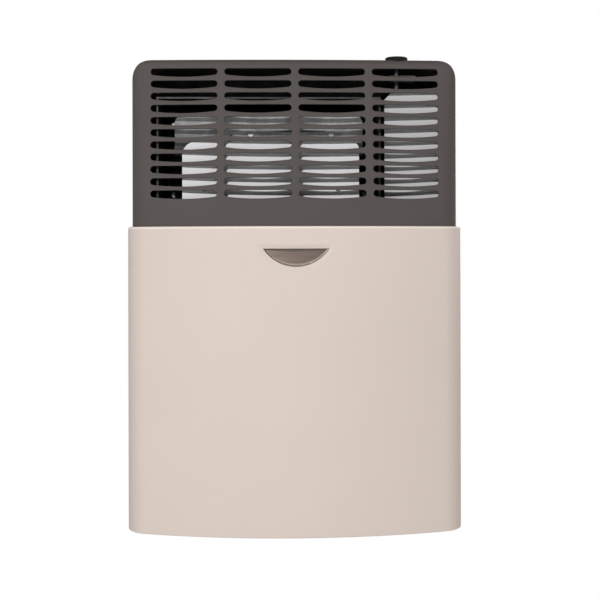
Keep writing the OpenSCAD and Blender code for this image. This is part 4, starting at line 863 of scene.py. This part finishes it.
def knob():
    """A turned cap with fine grips round its side, a dished top and a pointer ridge."""
    around, low = 288, KNOB_TOP - KNOB_H
    grips, grip_depth = 48, 0.45
    bore_r, bore_depth = 4.1, 10.0
    # radii, heights and how deep the grips are there, from the foot to the dish
    profile = [(KNOB_R - 0.6, 0.0, 0), (KNOB_R - 0.1, 0.5, 1), (KNOB_R, 1.2, 1), (KNOB_R, 10.6, 1),
               (KNOB_R - 0.02, 12.4, 0.8), (KNOB_R - 0.05, 13.4, 0), (KNOB_R - 0.15, 14.1, 0),
               (KNOB_R - 0.45, 14.7, 0), (KNOB_R - 0.95, 14.95, 0), (KNOB_R - 2.0, 15.0, 0),
               (KNOB_R - 2.5, 14.8, 0), (KNOB_R - 2.9, 14.1, 0), (KNOB_R - 3.5, 13.8, 0)]
    verts, faces, rings = [], [], []
    for r, z, grip in profile:
        ring = []
        for k in range(around):
            a = 2 * math.pi * k / around
            dent = grip_depth * grip * max(0.0, math.cos(grips * a)) ** 0.6
            ring.append(len(verts))
            verts.append((KNOB_X + (r - dent) * math.cos(a), KNOB_Y + (r - dent) * math.sin(a),
                          low + z))
        rings.append(ring)
    bore = []
    for z in (0.0, bore_depth):
        bore.append(range(len(verts), len(verts) + around))
        verts += [(KNOB_X + bore_r * math.cos(2 * math.pi * k / around),
                   KNOB_Y + bore_r * math.sin(2 * math.pi * k / around), low + z)
                  for k in range(around)]
    for a, b in zip(rings, rings[1:]):
        join_rings(faces, a, b)
    join_rings(faces, rings[0], bore[0])
    join_rings(faces, bore[0], bore[1])
    faces += [tuple(rings[-1]), tuple(bore[1])]
    ridge = bmesh.new()         # the pointer
    bmesh.ops.create_cube(ridge, size=1.0)
    for v in ridge.verts:
        v.co = Vector((v.co.x * 2.0, -7.4 + v.co.y * 7.2, 14.1 + v.co.z * 1.2))
    bmesh.ops.bevel(ridge, geom=ridge.edges[:], offset=0.35, segments=3, affect="EDGES")
    base = len(verts)
    verts += [(KNOB_X + v.co.x, KNOB_Y + v.co.y, low + v.co.z) for v in ridge.verts]
    ridge.verts.index_update()
    faces += [tuple(base + v.index for v in f.verts) for f in ridge.faces]
    ridge.free()
    new_object("knob_cap", verts, faces, "knob", "knob", 40)


# ---- inner pieces that show through the slots, and the spring ----

DUCT_LIP = 4.0                                              # by which the duct's lips are shorter
FIXING_X, FIXINGS = 195.0, ((60.0, 4.5), (602.5, 3.6))      # heights and radii of the wall holes
STRIP_HALF, STRIP_MID, STRIP_LOW, STRIP_H = 58.5, -5.0, 520.5, 20.0
SLIT_Z = (STRIP_LOW + 7.6, STRIP_LOW + 9.8)
SLITS = ((STRIP_MID - STRIP_HALF + 12, STRIP_MID - STRIP_HALF + 60),
         (STRIP_MID + STRIP_HALF - 46, STRIP_MID + STRIP_HALF - 12))
SCREW_INSET, SCREW_LIFT = 5.0, 2.5                          # of the strip's two screws


def reshaped(node, name, group, move):
    """A copy of a CAD node's mesh, welded where its faces meet, whose points are moved."""
    source = NODES[node]
    mesh = bpy.data.meshes.new(name)
    build = bmesh.new()
    build.from_mesh(source.data)
    bmesh.ops.remove_doubles(build, verts=build.verts[:], dist=0.000002)
    for v in build.verts:
        p = source.matrix_world @ v.co
        v.co = world_point(move(p.x / MM, p.y / MM, p.z / MM + FIX_MID))
    build.to_mesh(mesh)
    build.free()
    mesh.materials.append(look_of(node))
    obj = bpy.data.objects.new(name, mesh)
    bpy.context.scene.collection.objects.link(obj)
    dress(obj, group)
    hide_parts(node)
    return obj


def node_box(node):
    """A node's corners in millimetres, with heights from the cabinet's bottom edge."""
    obj = NODES[node]
    points = [obj.matrix_world @ v.co for v in obj.data.vertices]
    low = [min(p[i] for p in points) / MM for i in range(3)]
    high = [max(p[i] for p in points) / MM for i in range(3)]
    return (low[0], low[1], low[2] + FIX_MID), (high[0], high[1], high[2] + FIX_MID)


def round_hole(x, z, r):
    turns = [2 * math.pi * k / 40 for k in range(40)]
    return [(x + r * math.cos(a), z + r * math.sin(a)) for a in turns]


def box_hole(x0, z0, x1, z1):
    return [(x0, z0), (x1, z0), (x1, z1), (x0, z1)]


def rounded(x0, z0, x1, z1, left, right):
    """Front view of a sheet with square lower corners and round upper ones."""
    pts = [(x0, z0), (x1, z0)]
    for x, r, start in ((x1 - right, right, 0.0), (x0 + left, left, math.pi / 2)):
        turns = [start + math.pi / 2 * k / 10 for k in range(11)]
        pts += [(x + r * math.cos(a), z1 - r + r * math.sin(a)) for a in turns]
    return pts


def inside(loop, x, z):
    """Whether a point lies inside a closed loop."""
    hit = False
    for (ax, az), (bx, bz) in zip(loop, loop[1:] + loop[:1]):
        if (az > z) != (bz > z) and x < ax + (bx - ax) * (z - az) / (bz - az):
            hit = not hit
    return hit


def flat_sheet(name, node, outline, holes, front, back, boxes):
    """A closed sheet between two depths, with holes, and boxes for what is folded back and, behind
    the hanger's slits, for painted shade.
    """
    quads = ((0, 1, 3, 2), (4, 6, 7, 5), (0, 4, 5, 1), (2, 3, 7, 6), (0, 2, 6, 4), (1, 5, 7, 3))
    flat, edges, loops = [], [], []
    for loop in [outline] + holes:
        ids = list(range(len(flat), len(flat) + len(loop)))
        flat += [Vector(p) for p in loop]
        loops.append(ids)
        edges += list(zip(ids, ids[1:] + ids[:1]))
    place, _, triangles, sources = delaunay_2d_cdt(flat, edges, [], 0, 1e-6, True)[:4]
    now = {old: new for new, ids in enumerate(sources) for old in ids}
    n = len(place)
    verts = [(p.x, y, p.y) for y in (front, back) for p in place]
    faces = []
    for tri in triangles:
        c = sum((place[v] for v in tri), Vector((0, 0))) / 3
        if inside(outline, c.x, c.y) and not any(inside(hole, c.x, c.y) for hole in holes):
            faces += [tuple(tri), tuple(n + v for v in reversed(tri))]
    for ids in loops:
        ring = [now[v] for v in ids]
        join_rings(faces, ring, [n + v for v in ring])
    for (x0, y0, z0), (x1, y1, z1) in boxes:
        base = len(verts)
        verts += [(x, y, z) for x in (x0, x1) for y in (y0, y1) for z in (z0, z1)]
        faces += [tuple(base + v for v in quad) for quad in quads]
    obj = new_object(name, verts, faces, "cabinet", node, 30)
    rim = obj.modifiers.new("rim", "BEVEL")
    rim.width = 0.0002
    rim.segments = 1
    rim.limit_method = "ANGLE"
    rim.angle_limit = math.radians(60)
    return obj


def back_sheet():
    """The back plate up to the hood's top, whose round corners it follows."""
    _, front, low = node_box("back_plate")[0]
    side, corner = HOOD_W / 2 - 0.5, TURN_R - 0.5
    flue_low, flue_high = node_box("intake_collar")
    flue_x, flue_z = (flue_low[0] + flue_high[0]) / 2, (flue_low[2] + flue_high[2]) / 2
    holes = [round_hole(s * FIXING_X, z, r) for s in (-1, 1) for z, r in FIXINGS]
    holes.append(round_hole(flue_x, flue_z, (flue_high[0] - flue_low[0]) / 2 + 2))
    inner = HOOD_W / 2 - SHEET
    flanges = [((s * (inner - SHEET), front, low), (s * inner, -SHEET, HOOD_SCREW_Z + 90))
               for s in (-1, 1)]
    flat_sheet("plate_sheet", "back_plate",
               rounded(-side, low, side, CAB_H - 0.5, corner, corner), holes, -SHEET, 0.0, flanges)


def white_sheet():
    """The sheet before the chamber: round upper corners, its sides folded back."""
    low, high = node_box("radiant_shield")
    x0, x1, left, right = low[0] + 1.0, high[0] - 2.0, 18.0, 10.0
    folds = [((x, low[1] + SHEET, low[2]), (x + SHEET, high[1], high[2] - left))
             for x in (x0, x1 - SHEET)]
    flat_sheet("shield_sheet", "radiant_shield", rounded(x0, low[2], x1, high[2], left, right),
               [], low[1], low[1] + SHEET, folds)


def hanger_strip():
    """The strip above the white sheet, with two slits; black boxes behind the slits are painted
    shade.
    """
    (_, front, _), (_, back, _) = node_box("shield_hanger")
    z0, z1 = SLIT_Z
    strip = box_hole(STRIP_MID - STRIP_HALF, STRIP_LOW, STRIP_MID + STRIP_HALF, STRIP_LOW + STRIP_H)
    obj = flat_sheet("hanger_strip", "shield_hanger", strip,
                     [box_hole(a, z0, b, z1) for a, b in SLITS], front, back,
                     [((a, back - 0.1, z0), (b, back, z1)) for a, b in SLITS])
    # the slits' black backs: painted shade
    obj.data.materials.append(MATERIALS["black_plastic"])
    for face in obj.data.polygons:
        x, y, z = face.center.x / MM, face.center.y / MM, face.center.z / MM + FIX_MID
        if y > back - 0.3 and any(a < x < b for a, b in SLITS) and z0 < z < z1:
            face.material_index = 1


def inner_sheets(group):
    """The duct, the sheets and their screws as the photograph shows them through the slots."""
    def screw_in(x, y, z):
        return (x - math.copysign(1.0, x), y, z) if z > PANEL_H else (x, y, z)

    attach(reshaped("cabinet_screws", "cover_screws", group, screw_in), "cabinet")
    low, high = node_box("convection_duct")
    duct = reshaped("convection_duct", "duct_sheet", group, lambda x, y, z: (
        min(max(x, low[0] + DUCT_LIP), high[0] - DUCT_LIP), y, min(z, high[2] - DUCT_LIP)))
    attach(duct, "cabinet")
    back_sheet()
    white_sheet()
    hanger_strip()
    reach = STRIP_HALF - SCREW_INSET
    left, right = (corner[0] for corner in node_box("shield_hanger"))
    old_mid, old_reach = (left + right) / 2, (right - left) / 2 - SCREW_INSET
    shield_top = node_box("radiant_shield")[1][2]

    def beside_slits(x, y, z):
        if z < shield_top:
            return x, y, z
        side = math.copysign(1.0, x - old_mid)
        return x - old_mid - side * old_reach + STRIP_MID + side * reach, y, z + SCREW_LIFT

    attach(reshaped("shield_screws", "shield_screw_set", group, beside_slits), "cabinet")


def spring(group):
    """The return spring, a welded copy of its CAD mesh with its place baked in; on the real heater
    its upper end goes down with the rod's collar.
    """
    coil = reshaped("return_spring", "coil_spring", group, lambda x, y, z: (x, y, z))
    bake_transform(coil)


# ---- light, floor and camera ----

def area(name, place, target, size, level):
    """A round lamp that by itself lights a surface turned to it at the target to this level."""
    light = bpy.data.lights.new(name, "AREA")
    light.shape = "DISK"
    light.size = size
    far = (Vector(target) - Vector(place)).length
    light.energy = level * (math.pi * far) ** 2
    obj = bpy.data.objects.new(name, light)
    bpy.context.scene.collection.objects.link(obj)
    obj.location = place
    obj.rotation_euler = (Vector(target) - Vector(place)).to_track_quat("-Z", "Y").to_euler()


def lights():
    area("key", (-0.85, -4.80, 1.34), (0, -0.19, 0.05), 0.22, 0.75)
    area("low", (0.0, -1.80, -0.90), (0, -0.19, -0.28), 0.8, 0.035)
    area("left", (-2.2, 0.90, 0.3), (-0.2, -0.10, 0.0), 1.0, 0.06)
    area("right", (2.2, 0.90, 0.3), (0.2, -0.10, 0.0), 1.0, 0.24)
    area("rear", (0.8, 2.4, 0.6), (0, 0, 0), 1.6, 0.45)


def seen_directly(add, link):
    """1 for camera, glossy and transmission rays, 0 for the rest."""
    path = add("ShaderNodeLightPath")
    total = path.outputs["Is Camera Ray"]
    for name in ("Is Glossy Ray", "Is Transmission Ray"):
        node = add("ShaderNodeMath")
        node.operation = "MAXIMUM"
        link(total, node.inputs[0])
        link(path.outputs[name], node.inputs[1])
        total = node.outputs[0]
    return total


def studio_world():
    world = bpy.data.worlds.new("studio")
    bpy.context.scene.world = world
    world.use_nodes = True
    tree = world.node_tree
    tree.nodes.clear()
    out = tree.nodes.new("ShaderNodeOutputWorld")
    seen = tree.nodes.new("ShaderNodeBackground")
    seen.inputs["Color"].default_value = (1, 1, 1, 1)
    seen.inputs["Strength"].default_value = 1.0
    room = tree.nodes.new("ShaderNodeBackground")
    room.inputs["Color"].default_value = (1, 1, 1, 1)
    room.inputs["Strength"].default_value = 0.05
    mix = tree.nodes.new("ShaderNodeMixShader")
    tree.links.new(seen_directly(tree.nodes.new, tree.links.new), mix.inputs[0])
    tree.links.new(room.outputs[0], mix.inputs[1])
    tree.links.new(seen.outputs[0], mix.inputs[2])
    tree.links.new(mix.outputs[0], out.inputs[0])


def floor():
    half = 6.0
    z = CAD_BOX[0].z - 0.25
    mesh = bpy.data.meshes.new("floor")
    mesh.from_pydata([(-half, -half, z), (half, -half, z), (half, half, z), (-half, half, z)], [],
                     [(0, 1, 2, 3)])
    obj = bpy.data.objects.new("floor", mesh)
    bpy.context.scene.collection.objects.link(obj)
    n = Nodes("floor_white")
    n.set(Roughness=0.9)
    n.link(n.mix(n.noise(3.0), (0.86, 0.86, 0.86), (0.90, 0.90, 0.90)),
           n.shader.inputs["Base Color"])
    glow = n.add("ShaderNodeEmission")
    glow.inputs["Strength"].default_value = 1.0
    mix = n.add("ShaderNodeMixShader")
    n.link(seen_directly(n.add, n.link), mix.inputs[0])
    n.link(n.shader.outputs[0], mix.inputs[1])
    n.link(glow.outputs[0], mix.inputs[2])
    n.link(mix.outputs[0], n.out.inputs["Surface"])
    mesh.materials.append(n.mat)


def camera():
    data = bpy.data.cameras.new("camera")
    obj = bpy.data.objects.new("camera", data)
    bpy.context.scene.collection.objects.link(obj)
    data.sensor_width = SENSOR
    data.lens = SCALE_PX * DISTANCE / MM / IMAGE * SENSOR
    data.shift_y = SHIFT
    turn = Matrix.Rotation(math.radians(-YAW), 3, "Z")
    aside = (IMAGE / 2 - MIDDLE_PX) / SCALE_PX * MM
    front = Vector((0, FRONT_Y, FOOT_Z + LENS_Z))
    obj.location = front + turn @ Vector((aside, -DISTANCE, 0))
    obj.rotation_euler = (turn @ Matrix.Rotation(math.radians(90), 3, "X")
                          @ Matrix.Rotation(math.radians(ROLL), 3, "Z")).to_euler()
    bpy.context.scene.camera = obj


def build():
    assign_materials()
    group = smooth_group()
    for obj in NODES.values():
        dress(obj, group)
    inner_sheets(group)
    spring(group)
    hood()
    panel()
    badge()
    knob()
    studio_world()
    floor()
    lights()
    camera()
    bpy.context.scene.view_settings.view_transform = "Standard"


build()
